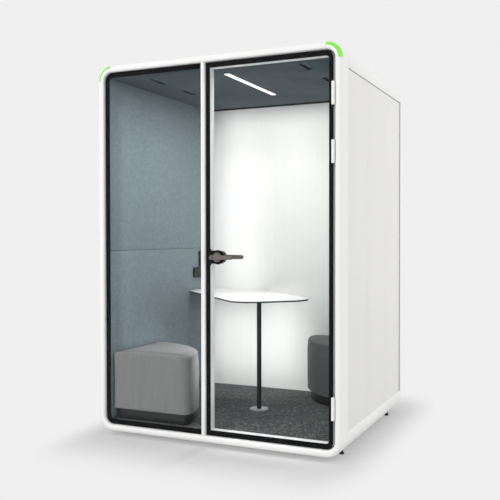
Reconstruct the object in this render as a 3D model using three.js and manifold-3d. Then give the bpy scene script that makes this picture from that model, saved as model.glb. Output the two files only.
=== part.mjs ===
// Acoustic office pod: a rounded white cabin with a glazed front, a hinged glass door,
// felt-lined walls, a diagonal table and two quarter-round stools.
// Millimetres, +Z up. Inside the pod group, y is the depth behind the front face.
import * as THREE from 'three';
import { mergeVertices } from 'three/addons/utils/BufferGeometryUtils.js';
import Module from 'manifold-3d';

const wasm = await Module();
wasm.setup();

// Driving dimensions of the shell
const width = 1590;
const depth = 1420;
const height = 2300;
const groundGap = 25;
const outerRadius = 95;
const fit = 0.3;
const clearance = 0.5;
const cutOver = 10;
const leverReach = 52;

// Front and rear frames
const frameFace = 42;
const frontDepth = 115;
const rearDepth = 85;
const rearFace = 70;
const outerFillet = 20;
const innerFillet = 14;
const rearFillet = 45;

// Edge rails, boards and linings
const railLeg = 130;
const railWall = 25;
const boardOuterInset = 4;
const boardThickness = 50;
const boardGrooveWidth = 4;
const boardGrooveDepth = 3;
const shadowGap = 5;
const roofThickness = 21;
const roofDrop = 2;
const feltThickness = 13.7;
const cabinHalfWidth = 727;
const feltSeamHeight = 1151;
const floorTop = 95;
const carpetThickness = 10;
const ceilingBottom = 2223;
const ceilingThickness = 22;
const backInnerFace = 1355;
const backThickness = 55;

// Glazing, mullion and door
const fixedGlassFront = 14;
const fixedGlassThickness = 10;
const borderThickness = 2;
const fixedBorderWidth = 31;
const mullionLeft = -68;
const mullionRight = -45;
const mullionFlangeRight = -22;
const lineFront = 71;
const mullionBack = 85;
const doorLeft = -40;
const doorRight = 742;
const doorBottom = 71;
const doorTop = 2254;
const doorFront = 8;
const doorGlassThickness = 8;
const doorStile = 27;
const doorRail = 31;
const doorBack = 66;
const doorCornerRadius = 45;
const doorFreeCornerRadius = 6;
const sealInset = 4;
const sealWidth = 10;
const sealThickness = 4;

// Hinges
const hingeX = 746;
const hingeY = -4;
const hingeRadius = 9.5;
const hingePinRadius = 4;
const hingeBoreRadius = 4.5;
const hingeLength = 126;
const hingeCentres = [2015, 1700, 301];
const hingePlate = 3;
const hingePlateBack = 45;
const knuckleClear = 3;

// Lever handle and latch
const leverX = 36;
const leverZ = 1119;
const leverTip = 158;
const leverHeel = 24;
const leverTall = 27;
const leverTipRadius = 12;
const leverDeep = 16;
const neckRadius = 12;
const roseRadius = 28;
const roseThickness = 8;
const roseBoreGap = 0.6;
const spindleRadius = 5;
const patchRadius = 42;
const patchFillet = 21;
const caseRadius = 38;
const caseBack = 62;
const boltFront = 32;
const boltBack = 46;
const boltTall = 14;
const boltTip = -54;
const boltTail = 6;
const boltTravel = 14;
const boltGap = 1;
const boltNose = 10;
const boltLip = 4;

// Ceiling fittings
const lampWidth = 38;
const lampStart = 205;
const lampEnd = 953;
const ventX = 500;
const ventWidth = 44;
const ventStart = 134;
const ventEnd = 734;
const ventShelf = 9;
const ventOpening = 30;
const ventSlots = [[146, 314], [554, 722]];
const fanY = 638;
const fanSize = 120;
const fanThickness = 25;
const fanBoreRadius = 56;
const rotorRadius = 53;
const rotorHubRadius = 20;
const rotorBlades = 7;
const roofHoleRadius = 55;

// Table, stools, wall modules and feet
const columnX = 21;
const columnY = 644;
const columnRadius = 15;
const headRadius = 42;
const headThickness = 5;
const flangeRadius = 62;
const flangeThickness = 8;
const tableTop = 836;
const tableThickness = 13;
const tableHalfWidth = 272;
const tableMiddle = 495;
const tableEnd = 186;
const tableCorner = 160;
const wallClear = 2.5;
const stoolRadius = 545;
const stoolWallGap = 5;
const stoolFront = 40;
const stoolRearX = 680;
const stoolRear = 1350;
const stoolTipRadius = 60;
const stoolCornerRadius = 20;
const stoolCornerLeast = 4;
const plinthInset = 28;
const stoolBodyBottom = 158;
const stoolEdgeTop = 518;
const stoolCrown = 4;
const stoolEdgeRadius = 14;
const stoolDrawIn = 1.5;
const stoolMiddleShare = 0.42;
const outletSpan = [1100, 1300];
const outletLevels = [930, 1005];
const outletDeep = 16;
const panelSpan = [1187, 1302];
const panelLevels = [1013, 1128];
const panelDeep = 12;
const keySize = 34;
const keyProud = 2;
const keyTravel = 1.5;
const keyRise = 34;
const keyBedDepth = 4;
const footX = 730;
const footDepths = [205, 1220];
const padRadius = 13;
const padThickness = 12;
const stemRadius = 6;
const stemTop = 54;

// Values worked out from the driving dimensions
const halfWidth = width / 2;
const openHalfWidth = halfWidth - frameFace;
const openBottom = groundGap + frameFace;
const openTop = height - frameFace;
const openRadius = outerRadius - frameFace;
const rearStart = depth - rearDepth;
const middleDepth = (depth - leverReach) / 2;
const ceilingTop = ceilingBottom + ceilingThickness;
const boardBottom = groundGap + railLeg;
const boardTop = height - railLeg;
const fixedGlassBack = fixedGlassFront + fixedGlassThickness;
const backOuterFace = backInnerFace + backThickness;
const roofTop = height - roofDrop;

const finishes = {
  white: { color: 0xf2f2ee, roughness: 0.45, metalness: 0 },
  whiteBoard: { color: 0xe8e6e2, roughness: 0.6, metalness: 0 },
  slateFelt: { color: 0x8c9ba5, roughness: 0.95, metalness: 0 },
  darkFelt: { color: 0x505c62, roughness: 0.95, metalness: 0 },
  carpet: { color: 0x4a4d4f, roughness: 1, metalness: 0 },
  glass: { color: 0xdfe8e6, roughness: 0.05, metalness: 0, transparent: true, opacity: 0.25 },
  black: { color: 0x17181a, roughness: 0.4, metalness: 0 },
  rubber: { color: 0x1d1d1e, roughness: 0.8, metalness: 0 },
  bronze: { color: 0x706764, roughness: 0.4, metalness: 0.8 },
  steel: { color: 0xb9bcbe, roughness: 0.35, metalness: 0.9 },
  column: { color: 0x32373c, roughness: 0.5, metalness: 0.3 },
  tableWhite: { color: 0xf6f6f4, roughness: 0.5, metalness: 0 },
  greyFabric: { color: 0x8b8c8c, roughness: 0.95, metalness: 0 },
  darkFabric: { color: 0x55585b, roughness: 0.95, metalness: 0 },
  greenLight: { color: 0x6fe04a, roughness: 0.3, metalness: 0 },
  opal: { color: 0xfffdf5, roughness: 0.5, metalness: 0 },
};

const pod = new THREE.Group();
pod.position.y = -middleDepth;

// Adds a geometry to the pod as one named piece
function addPiece(name, finish, geometry, parent = pod) {
  const material = new THREE.MeshStandardMaterial(finishes[finish]);
  const mesh = new THREE.Mesh(geometry, material);
  mesh.name = name;
  parent.add(mesh);
  return mesh;
}

// Solid helpers for joining and cutting
function toSolid(geometry) {
  const bare = geometry.clone();
  bare.deleteAttribute('normal');
  bare.deleteAttribute('uv');
  const merged = mergeVertices(bare, 1e-3);
  const vertProperties = new Float32Array(merged.attributes.position.array);
  const triVerts = new Uint32Array(merged.index.array);
  return new wasm.Manifold(new wasm.Mesh({ numProp: 3, vertProperties, triVerts }));
}

function toGeometry(solid) {
  const mesh = solid.getMesh();
  const geometry = new THREE.BufferGeometry();
  geometry.setAttribute('position', new THREE.BufferAttribute(mesh.vertProperties, 3));
  geometry.setIndex(new THREE.BufferAttribute(mesh.triVerts, 1));
  return geometry;
}

const join = (first, ...rest) =>
  toGeometry(rest.reduce((solid, piece) => solid.add(toSolid(piece)), toSolid(first)));
const cut = (first, ...rest) =>
  toGeometry(rest.reduce((solid, piece) => solid.subtract(toSolid(piece)), toSolid(first)));
const common = (first, second) => toGeometry(toSolid(first).intersect(toSolid(second)));

// Box between two corners
function box(x0, y0, z0, x1, y1, z1) {
  const geometry = new THREE.BoxGeometry(x1 - x0, y1 - y0, z1 - z0);
  return geometry.translate((x0 + x1) / 2, (y0 + y1) / 2, (z0 + z1) / 2);
}

// Round bars standing along Z or lying along Y
function barZ(x, y, z0, z1, radius, sides = 20) {
  const geometry = new THREE.CylinderGeometry(radius, radius, z1 - z0, sides);
  return geometry.rotateX(Math.PI / 2).translate(x, y, (z0 + z1) / 2);
}

function barY(x, z, y0, y1, radius, sides = 24) {
  const geometry = new THREE.CylinderGeometry(radius, radius, y1 - y0, sides);
  return geometry.translate(x, (y0 + y1) / 2, z);
}

// Plate cut from a plan outline, lying flat
function flatPlate(shape, z0, z1, curveSegments = 8) {
  const geometry = new THREE.ExtrudeGeometry(shape, { depth: z1 - z0, bevelEnabled: false, curveSegments });
  return geometry.translate(0, 0, z0);
}

// Plate cut from a front-view outline, standing upright
function uprightPlate(shape, y0, y1, curveSegments = 8) {
  const geometry = new THREE.ExtrudeGeometry(shape, { depth: y1 - y0, bevelEnabled: false, curveSegments });
  return geometry.rotateX(Math.PI / 2).translate(0, y1, 0);
}

function polygon(points) {
  return new THREE.Shape(points.map(([a, b]) => new THREE.Vector2(a, b)));
}

function arcPoints(x, y, radius, from, to, steps) {
  return Array.from({ length: steps + 1 }, (_, i) => {
    const angle = from + ((to - from) * i) / steps;
    return [x + radius * Math.cos(angle), y + radius * Math.sin(angle)];
  });
}

// Rectangle with a radius at each corner: bottom left, bottom right, top right, top left
function roundedRectangle(x0, z0, x1, z1, [bl, br, tr, tl], Kind = THREE.Shape) {
  const shape = new Kind();
  shape.moveTo(x0 + bl, z0);
  shape.lineTo(x1 - br, z0);
  shape.absarc(x1 - br, z0 + br, br, -Math.PI / 2, 0, false);
  shape.lineTo(x1, z1 - tr);
  shape.absarc(x1 - tr, z1 - tr, tr, 0, Math.PI / 2, false);
  shape.lineTo(x0 + tl, z1);
  shape.absarc(x0 + tl, z1 - tl, tl, Math.PI / 2, Math.PI, false);
  shape.lineTo(x0, z0 + bl);
  shape.absarc(x0 + bl, z0 + bl, bl, Math.PI, Math.PI * 1.5, false);
  return shape;
}

function roundHole(x, y, radius) {
  const path = new THREE.Path();
  path.absarc(x, y, radius, 0, Math.PI * 2, true);
  return path;
}

// Skins a grid of rings; a closed grid joins its last ring to its first, an open one is capped
function skin(rings, closed) {
  const size = rings[0].length;
  const positions = rings.flat(2);
  const index = [];
  const last = closed ? rings.length : rings.length - 1;
  for (let i = 0; i < last; i += 1) {
    const next = (i + 1) % rings.length;
    for (let j = 0; j < size; j += 1) {
      const k = (j + 1) % size;
      index.push(i * size + j, next * size + j, next * size + k);
      index.push(i * size + j, next * size + k, i * size + k);
    }
  }
  return { positions, index, size };
}

// Turns positions and triangles into a geometry whose faces point out
function outwardGeometry(positions, index) {
  let volume = 0;
  const at = (i) => new THREE.Vector3().fromArray(positions, i * 3);
  for (let i = 0; i < index.length; i += 3) {
    volume += at(index[i]).dot(at(index[i + 1]).cross(at(index[i + 2])));
  }
  const facing = volume < 0 ? index.slice().reverse() : index;
  const geometry = new THREE.BufferGeometry();
  geometry.setAttribute('position', new THREE.Float32BufferAttribute(positions, 3));
  geometry.setIndex(facing);
  return geometry;
}

// Sections along the rounded front outline: each is the profile, whose points are
// [distance in from the outline, depth], turned to face its place on the corner arc
const cornerSteps = 8;

function cornerSections(profile, right, top, steps = cornerSteps) {
  const x = (right ? 1 : -1) * (halfWidth - outerRadius);
  const z = top ? height - outerRadius : groundGap + outerRadius;
  const from = right ? (top ? 0 : -Math.PI / 2) : (top ? Math.PI / 2 : Math.PI);
  return Array.from({ length: steps + 1 }, (_, i) => {
    const angle = from + ((Math.PI / 2) * i) / steps;
    return profile.map(([inset, y]) => {
      const reach = outerRadius - inset;
      return [x + reach * Math.cos(angle), y, z + reach * Math.sin(angle)];
    });
  });
}

function ringFrame(profile) {
  const rings = [
    ...cornerSections(profile, true, false),
    ...cornerSections(profile, true, true),
    ...cornerSections(profile, false, true),
    ...cornerSections(profile, false, false),
  ];
  const { positions, index } = skin(rings, true);
  return outwardGeometry(positions, index);
}

function cornerBand(profile, right) {
  const rings = cornerSections(profile, right, true);
  const { positions, index, size } = skin(rings, false);
  const flat = profile.map(([inset, y]) => new THREE.Vector2(inset, y));
  const faces = THREE.ShapeUtils.triangulateShape(flat, []);
  const end = (rings.length - 1) * size;
  const startFacing = THREE.ShapeUtils.isClockWise(flat);
  for (const [a, b, c] of faces) {
    if (startFacing) {
      index.push(a, c, b, end + a, end + b, end + c);
    } else {
      index.push(a, b, c, end + a, end + c, end + b);
    }
  }
  return outwardGeometry(positions, index);
}

// Front frame: bullnose ring with a groove for the status lights at its upper corners
const frontProfile = [
  [0, frontDepth],
  ...arcPoints(outerFillet, outerFillet, outerFillet, Math.PI, Math.PI * 1.5, 5),
  ...arcPoints(frameFace - innerFillet, innerFillet, innerFillet, -Math.PI / 2, 0, 4),
  [frameFace, frontDepth],
];

function lightBand(outer, inner, spread) {
  const from = Math.PI * 1.25 - spread;
  const to = Math.PI * 1.25 + spread;
  return [
    ...arcPoints(outerFillet, outerFillet, outer, from, to, 4),
    ...arcPoints(outerFillet, outerFillet, inner, to, from, 4),
  ];
}

const lightSpread = 0.62;
const grooveSpread = 0.66;
const lightDepth = 6;
const lightInner = outerFillet - lightDepth;
const groove = lightBand(outerFillet + cutOver, lightInner - clearance, grooveSpread);
const light = lightBand(outerFillet, lightInner, lightSpread);
const sides = { left: false, right: true };
const grooves = Object.values(sides).map((right) => cornerBand(groove, right));
addPiece('front_frame', 'white', cut(ringFrame(frontProfile), ...grooves));
for (const [side, right] of Object.entries(sides)) {
  addPiece(`status_light_${side}`, 'greenLight', cornerBand(light, right));
}

// Rear frame with its rounded back edge
const rearProfile = [
  [0, rearStart],
  ...arcPoints(rearFillet, depth - rearFillet, rearFillet, Math.PI, Math.PI / 2, 6),
  [rearFace, depth],
  [rearFace, rearStart],
];
addPiece('rear_frame', 'white', ringFrame(rearProfile));

// Edge rails along the four long corners, with bores for the levelling feet in the lower two
function railOutline(side, level) {
  const centreX = halfWidth - outerRadius;
  const centreZ = outerRadius;
  const inner = outerRadius - railWall;
  const points = [
    [halfWidth - railLeg, 0],
    ...arcPoints(centreX, centreZ, outerRadius, -Math.PI / 2, 0, 8),
    [halfWidth, railLeg],
    [halfWidth - railWall, railLeg],
    ...arcPoints(centreX, centreZ, inner, 0, -Math.PI / 2, 8),
    [halfWidth - railLeg, railWall],
  ];
  return polygon(points.map(([x, z]) => [side * x, level > 0 ? height - z : groundGap + z]));
}

for (const [name, side] of [['left', -1], ['right', 1]]) {
  const span = [frontDepth + fit, rearStart - fit];
  const lower = uprightPlate(railOutline(side, -1), ...span);
  const bores = footDepths.map((y) => barZ(side * footX, y, 0, railLeg, stemRadius + clearance));
  addPiece(`rail_bottom_${name}`, 'white', cut(lower, ...bores));
  addPiece(`rail_top_${name}`, 'white', uprightPlate(railOutline(side, 1), ...span));
}

// Side boards: one thick panel a side, grooved into three equal boards
function sideBoard(side) {
  const outer = halfWidth - boardOuterInset;
  const inner = outer - boardThickness;
  const start = frontDepth + 1;
  const end = rearStart - shadowGap;
  const points = [[inner, start], [outer, start]];
  for (const third of [1, 2]) {
    const middle = start + ((end - start) * third) / 3;
    points.push(
      [outer, middle - boardGrooveWidth / 2],
      [outer - boardGrooveDepth, middle],
      [outer, middle + boardGrooveWidth / 2],
    );
  }
  points.push([outer, end], [inner, end]);
  return flatPlate(polygon(points.map(([x, y]) => [side * x, y])), boardBottom + fit, boardTop - shadowGap);
}

addPiece('side_panel_left', 'whiteBoard', sideBoard(-1));
addPiece('side_panel_right', 'whiteBoard', sideBoard(1));

// Roof and back panel
const roofHalf = halfWidth - railLeg - fit;
const roofShape = polygon([
  [-roofHalf, frontDepth + fit],
  [roofHalf, frontDepth + fit],
  [roofHalf, rearStart - fit],
  [-roofHalf, rearStart - fit],
]);
roofShape.holes.push(roundHole(ventX, fanY, roofHoleRadius));
addPiece('roof_panel', 'whiteBoard', flatPlate(roofShape, roofTop - roofThickness, roofTop, 24));

const backHalf = halfWidth - rearFace - fit;
const backRadius = outerRadius - rearFace;
const backShape = roundedRectangle(
  -backHalf,
  groundGap + rearFace + fit,
  backHalf,
  height - rearFace - fit,
  [backRadius, backRadius, backRadius, backRadius],
);
addPiece('back_panel', 'whiteBoard', uprightPlate(backShape, backInnerFace, backOuterFace, 6));

// Clear tunnel inside the frames, which rounds the corners of the linings
const tunnelRadius = openRadius - fit;
const tunnel = uprightPlate(roundedRectangle(
  -openHalfWidth + fit,
  openBottom + fit,
  openHalfWidth - fit,
  openTop - fit,
  [tunnelRadius, tunnelRadius, tunnelRadius, tunnelRadius],
), 0, depth);

// Felt wall panels, two stacked on each side
const fixedLineFront = fixedGlassBack + borderThickness + 3 * fit;
for (const [name, side, start] of [['left', -1, fixedLineFront], ['right', 1, lineFront + fit]]) {
  const xs = [side * cabinHalfWidth, side * (cabinHalfWidth + feltThickness)].sort((a, b) => a - b);
  const levels = { lower: [openBottom + 1, feltSeamHeight - 1], upper: [feltSeamHeight + 1, ceilingTop] };
  for (const [level, [z0, z1]] of Object.entries(levels)) {
    const sheet = box(xs[0], start, z0, xs[1], rearStart - fit, z1);
    addPiece(`felt_${name}_${level}`, 'slateFelt', common(sheet, tunnel));
  }
}

// Plan outline that the deck, carpet and ceiling share, stepped round the door and the mullion
function cabinPlan() {
  const half = cabinHalfWidth - fit;
  return polygon([
    [-half, fixedLineFront],
    [mullionLeft - clearance, fixedLineFront],
    [mullionLeft - clearance, mullionBack + clearance],
    [mullionFlangeRight + clearance, mullionBack + clearance],
    [mullionFlangeRight + clearance, lineFront + fit],
    [half, lineFront + fit],
    [half, rearStart - fit],
    [-half, rearStart - fit],
  ]);
}

// Base deck: a board between the lower rails under a wider one that carries the carpet
const deckHalf = halfWidth - outerRadius - clearance;
const deckBottom = groundGap + railWall + fit;
const carpetBottom = floorTop - carpetThickness;
const deckBoard = box(
  -deckHalf, frontDepth + fit, deckBottom, deckHalf, rearStart - fit, openBottom + 2,
);
addPiece('base_deck', 'column', join(
  deckBoard,
  common(flatPlate(cabinPlan(), openBottom + fit, carpetBottom - fit), tunnel),
));
addPiece('carpet', 'carpet', common(flatPlate(cabinPlan(), carpetBottom, floorTop), tunnel));

// Box that cuts a slot right through the ceiling
const ceilingSlot = (x0, y0, x1, y1) => box(x0, y0, ceilingBottom - cutOver, x1, y1, ceilingTop + cutOver);
const ventBed = ceilingBottom + ventShelf;
const ventCuts = [-ventX, ventX].flatMap((x) => [
  box(x - ventWidth / 2, ventStart, ventBed, x + ventWidth / 2, ventEnd, ceilingTop + cutOver),
  ...ventSlots.map(([from, to]) => ceilingSlot(x - ventOpening / 2, from, x + ventOpening / 2, to)),
]);
addPiece('ceiling_panel', 'darkFelt', cut(
  flatPlate(cabinPlan(), ceilingBottom, ceilingTop),
  ceilingSlot(-lampWidth / 2, lampStart, lampWidth / 2, lampEnd),
  ...ventCuts,
));

// Ceiling lamp: an aluminium channel with an opal cover standing a little proud
const lampWall = 3;
const lampRecess = 1;
const lampProud = 2;
const lampRoof = 5;
const channelHalf = lampWidth / 2 - clearance;
const channelStart = lampStart + clearance;
const channelEndY = lampEnd - clearance;
const channelTop = ceilingTop - lampRecess;
const troughTop = channelTop - lampRoof;
const channel = box(
  -channelHalf, channelStart, ceilingBottom + lampRecess, channelHalf, channelEndY, channelTop,
);
const trough = box(
  lampWall - channelHalf, channelStart + lampWall, ceilingBottom - cutOver,
  channelHalf - lampWall, channelEndY - lampWall, troughTop,
);
addPiece('lamp_housing', 'steel', cut(channel, trough));
const coverHalf = channelHalf - lampWall - fit;
const coverSetIn = lampWall + fit;
addPiece('lamp_diffuser', 'opal', box(
  -coverHalf, channelStart + coverSetIn, ceilingBottom - lampProud,
  coverHalf, channelEndY - coverSetIn, troughTop - fit,
));

// Ceiling vents: a dark slotted strip lying in the ceiling over two openings on each side
function ventGrille(x) {
  const half = ventWidth / 2 - clearance;
  const stripThickness = 8;
  const strip = box(
    x - half, ventStart + clearance, ventBed + fit,
    x + half, ventEnd - clearance, ventBed + fit + stripThickness,
  );
  const slotWidth = 5;
  const slotPitch = 9;
  const slots = ventSlots.flatMap(([from, to]) => [-1, 0, 1].map((row) => {
    const middle = x + row * slotPitch;
    return ceilingSlot(middle - slotWidth / 2, from, middle + slotWidth / 2, to);
  }));
  return cut(strip, ...slots);
}

addPiece('vent_grille_left', 'black', ventGrille(-ventX));
addPiece('vent_grille_right', 'black', ventGrille(ventX));

// Extract fan above the right vent, under the hole in the roof
const fanBottom = ceilingTop + fit;
const fanTop = fanBottom + fanThickness;
const spiderThickness = 3;
const spiderHubRadius = 22;
const spiderArmHalf = 3;

function fanHousing() {
  const half = fanSize / 2;
  const block = box(ventX - half, fanY - half, fanBottom, ventX + half, fanY + half, fanTop);
  const bore = barZ(ventX, fanY, fanBottom - cutOver, fanTop + cutOver, fanBoreRadius, 32);
  const hub = barZ(ventX, fanY, fanTop - spiderThickness, fanTop, spiderHubRadius);
  const arms = [0, 1, 2].map((i) => {
    const arm = box(
      0, -spiderArmHalf, fanTop - spiderThickness, fanBoreRadius + 1, spiderArmHalf, fanTop,
    );
    return arm.rotateZ((i * Math.PI * 2) / 3).translate(ventX, fanY, 0);
  });
  return join(cut(block, bore), hub, ...arms);
}

function fanRotor() {
  const bladeWidth = 20;
  const bladeThickness = 2;
  const bladePitch = 0.55;
  const bladeRoot = 2;
  const z0 = fanBottom + 2;
  const z1 = fanTop - spiderThickness - 1;
  const middle = (z0 + z1) / 2;
  const hub = barZ(0, 0, z0, z1, rotorHubRadius);
  const blades = Array.from({ length: rotorBlades }, (_, i) => {
    const blade = new THREE.BoxGeometry(rotorRadius - rotorHubRadius + bladeRoot, bladeWidth, bladeThickness);
    blade.rotateX(bladePitch).translate((rotorRadius + rotorHubRadius - bladeRoot) / 2, 0, middle);
    return blade.rotateZ((i * Math.PI * 2) / rotorBlades);
  });
  return join(hub, ...blades).translate(ventX, fanY, 0);
}

addPiece('fan_housing', 'black', fanHousing());
addPiece('fan_rotor', 'black', fanRotor());

// Fixed pane on the left and the black border bonded behind its edge
const paneLeft = -openHalfWidth + clearance;
const paneRight = mullionLeft - clearance;
const paneBottom = openBottom + clearance;
const paneTop = openTop - clearance;
const paneRadius = openRadius - clearance;
const paneShape = roundedRectangle(paneLeft, paneBottom, paneRight, paneTop, [paneRadius, 1, 1, paneRadius]);
addPiece('fixed_glass', 'glass', uprightPlate(paneShape, fixedGlassFront, fixedGlassBack));

function fixedBorder() {
  const start = fixedGlassBack + fit;
  const sheet = uprightPlate(paneShape, start, start + borderThickness);
  const clearRadius = paneRadius - fixedBorderWidth;
  const clear = roundedRectangle(
    paneLeft + fixedBorderWidth,
    paneBottom + fixedBorderWidth,
    paneRight + cutOver,
    paneTop - fixedBorderWidth,
    [clearRadius, 1, 1, clearRadius],
  );
  return cut(sheet, uprightPlate(clear, start - cutOver, start + borderThickness + cutOver));
}

addPiece('fixed_border', 'black', fixedBorder());

// Mullion between the pane and the door, with the flange that the door closes on and the latch pocket
const mullionFront = 2;
const mullionChamfer = 4;
const mullionPlan = polygon([
  [mullionLeft, mullionFront + mullionChamfer],
  [mullionLeft + mullionChamfer, mullionFront],
  [mullionRight - mullionChamfer, mullionFront],
  [mullionRight, mullionFront + mullionChamfer],
  [mullionRight, lineFront],
  [mullionFlangeRight, lineFront],
  [mullionFlangeRight, mullionBack],
  [mullionLeft, mullionBack],
]);
const boltHole = (x0, x1) => box(
  x0, boltFront - boltGap, leverZ - boltTall / 2 - boltGap,
  x1, boltBack + boltGap, leverZ + boltTall / 2 + boltGap,
);
const pocketDepth = 6;
addPiece('mullion', 'white', cut(
  flatPlate(mullionPlan, openBottom + fit, openTop - fit),
  boltHole(boltTip - pocketDepth, mullionRight + cutOver),
));

// Door leaf: glass, black border with its round patch at the handle, four frame members and a seal
const doorRadii = [doorFreeCornerRadius, doorCornerRadius, doorCornerRadius, doorFreeCornerRadius];
const doorShape = () => roundedRectangle(doorLeft, doorBottom, doorRight, doorTop, doorRadii);
const doorClear = {
  x0: doorLeft + doorStile,
  x1: doorRight - doorStile + 1,
  z0: doorBottom + doorRail,
  z1: doorTop - doorRail,
  radius: doorCornerRadius - doorStile,
};
const glassBack = doorFront + doorGlassThickness;
const borderFront = glassBack + fit;
const frameFront = borderFront + borderThickness + fit;

const glassShape = doorShape();
glassShape.holes.push(roundHole(leverX, leverZ, neckRadius + 2));
addPiece('door_glass', 'glass', uprightPlate(glassShape, doorFront, glassBack));

// The clear part of the border, followed round: bottom, right, top, then down past the patch
function borderClearPath() {
  const { x0, x1, z0, z1, radius } = doorClear;
  const filletX = x0 + patchFillet;
  const across = leverX - filletX;
  const rise = Math.sqrt((patchRadius + patchFillet) ** 2 - across ** 2);
  const swing = Math.atan2(rise, across);
  const path = new THREE.Path();
  path.moveTo(x0, z0);
  path.lineTo(x1 - radius, z0);
  path.absarc(x1 - radius, z0 + radius, radius, -Math.PI / 2, 0, false);
  path.lineTo(x1, z1 - radius);
  path.absarc(x1 - radius, z1 - radius, radius, 0, Math.PI / 2, false);
  path.lineTo(x0, z1);
  path.lineTo(x0, leverZ + rise);
  path.absarc(filletX, leverZ + rise, patchFillet, Math.PI, Math.PI * 2 - swing, false);
  path.absarc(leverX, leverZ, patchRadius, Math.PI - swing, swing - Math.PI, true);
  path.absarc(filletX, leverZ - rise, patchFillet, swing, Math.PI, false);
  path.lineTo(x0, z0);
  return path;
}

const borderShape = doorShape();
borderShape.holes.push(borderClearPath(), roundHole(leverX, leverZ, neckRadius + 1.5));
addPiece('door_border', 'black', uprightPlate(borderShape, borderFront, borderFront + borderThickness));

const leafShape = doorShape();
const clearRadii = [1, doorClear.radius, doorClear.radius, 1];
leafShape.holes.push(roundedRectangle(
  doorClear.x0, doorClear.z0, doorClear.x1, doorClear.z1, clearRadii, THREE.Path,
));
const leaf = uprightPlate(leafShape, frameFront, doorBack);
const leafReach = doorBack + cutOver;
const stileBox = (x0, x1) => box(x0, 0, 0, x1, leafReach, height);
const railBox = (z0, z1) => box(
  doorClear.x0 + fit, 0, z0, doorRight - doorCornerRadius - fit, leafReach, z1,
);
const freeStile = common(leaf, stileBox(doorLeft - cutOver, doorClear.x0));
addPiece('door_stile_free', 'white', cut(freeStile, boltHole(doorLeft - cutOver, doorClear.x0 + cutOver)));
const hingeStile = common(leaf, stileBox(doorRight - doorCornerRadius, doorRight + cutOver));
addPiece('door_stile_hinge', 'white', hingeStile);
addPiece('door_rail_top', 'white', common(leaf, railBox(doorClear.z1 - cutOver, height)));
addPiece('door_rail_bottom', 'white', common(leaf, railBox(0, doorClear.z0 + cutOver)));

function insetDoor(inset, Kind) {
  return roundedRectangle(
    doorLeft + inset,
    doorBottom + inset,
    doorRight - inset,
    doorTop - inset,
    [3, doorCornerRadius - inset, doorCornerRadius - inset, 3],
    Kind,
  );
}

const sealShape = insetDoor(sealInset, THREE.Shape);
sealShape.holes.push(insetDoor(sealInset + sealWidth, THREE.Path));
addPiece('door_seal', 'rubber', uprightPlate(sealShape, doorBack + fit, doorBack + fit + sealThickness));

// Hinges: the frame leaf carries the pin and the outer knuckles, the door leaf the middle one
const knuckle = hingeLength / 3;
const frameLeafX = openHalfWidth - fit - hingePlate;
const doorLeafX = doorRight + fit;
hingeCentres.forEach((centre, i) => {
  const bottom = centre - hingeLength / 2;
  const top = centre + hingeLength / 2;
  const lower = bottom + knuckle;
  const upper = top - knuckle;
  const framePlate = (z0, z1) => box(frameLeafX, hingeY, z0, frameLeafX + hingePlate, hingePlateBack, z1);
  const frameBack = box(
    frameLeafX, hingeY + hingeRadius + knuckleClear, bottom, frameLeafX + hingePlate, hingePlateBack, top,
  );
  addPiece(`hinge_frame_leaf_${i + 1}`, 'white', join(
    barZ(hingeX, hingeY, bottom, lower, hingeRadius),
    barZ(hingeX, hingeY, upper, top, hingeRadius),
    barZ(hingeX, hingeY, bottom, top, hingePinRadius),
    framePlate(bottom, lower),
    framePlate(upper, top),
    frameBack,
  ));
  const doorPlate = join(
    barZ(hingeX, hingeY, lower + fit, upper - fit, hingeRadius),
    box(doorLeafX, hingeY, lower + fit, doorLeafX + hingePlate, hingePlateBack, upper - fit),
    box(doorLeafX, hingeY + hingeRadius + knuckleClear, bottom, doorLeafX + hingePlate, hingePlateBack, top),
  );
  const bore = barZ(hingeX, hingeY, bottom, top, hingeBoreRadius);
  addPiece(`hinge_door_leaf_${i + 1}`, 'white', cut(doorPlate, bore));
});

// Lock case behind the patch, with the latch bolt's channel
const caseShape = new THREE.Shape();
caseShape.moveTo(doorClear.x0 + fit, leverZ - caseRadius);
caseShape.lineTo(leverX, leverZ - caseRadius);
caseShape.absarc(leverX, leverZ, caseRadius, -Math.PI / 2, Math.PI / 2, false);
caseShape.lineTo(doorClear.x0 + fit, leverZ + caseRadius);
caseShape.holes.push(roundHole(leverX, leverZ, spindleRadius + 1));
const caseBlock = uprightPlate(caseShape, frameFront, caseBack, 16);
const channelEnd = boltTail + boltTravel + 1;
addPiece('lock_case', 'black', cut(caseBlock, boltHole(doorClear.x0 - 5, channelEnd)));

const roseFront = doorFront - roseThickness;
const roseBlock = barY(leverX, leverZ, roseFront, doorFront - fit, roseRadius, 32);
const roseBore = barY(leverX, leverZ, roseFront - cutOver, doorFront + cutOver, neckRadius + roseBoreGap);
addPiece('handle_rose', 'bronze', cut(roseBlock, roseBore));

// Lever arms: the outer one carries the spindle, the inner one is bored to take it
function leverArm(y0, y1) {
  const half = leverTall / 2;
  const heel = leverX - leverHeel + half;
  const end = leverTip - leverTipRadius;
  const shape = new THREE.Shape();
  shape.moveTo(heel, leverZ - half);
  shape.lineTo(end, leverZ - leverTipRadius);
  shape.absarc(end, leverZ, leverTipRadius, -Math.PI / 2, Math.PI / 2, false);
  shape.lineTo(heel, leverZ + half);
  shape.absarc(heel, leverZ, half, Math.PI / 2, Math.PI * 1.5, false);
  return uprightPlate(shape, y0, y1, 8);
}

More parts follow.
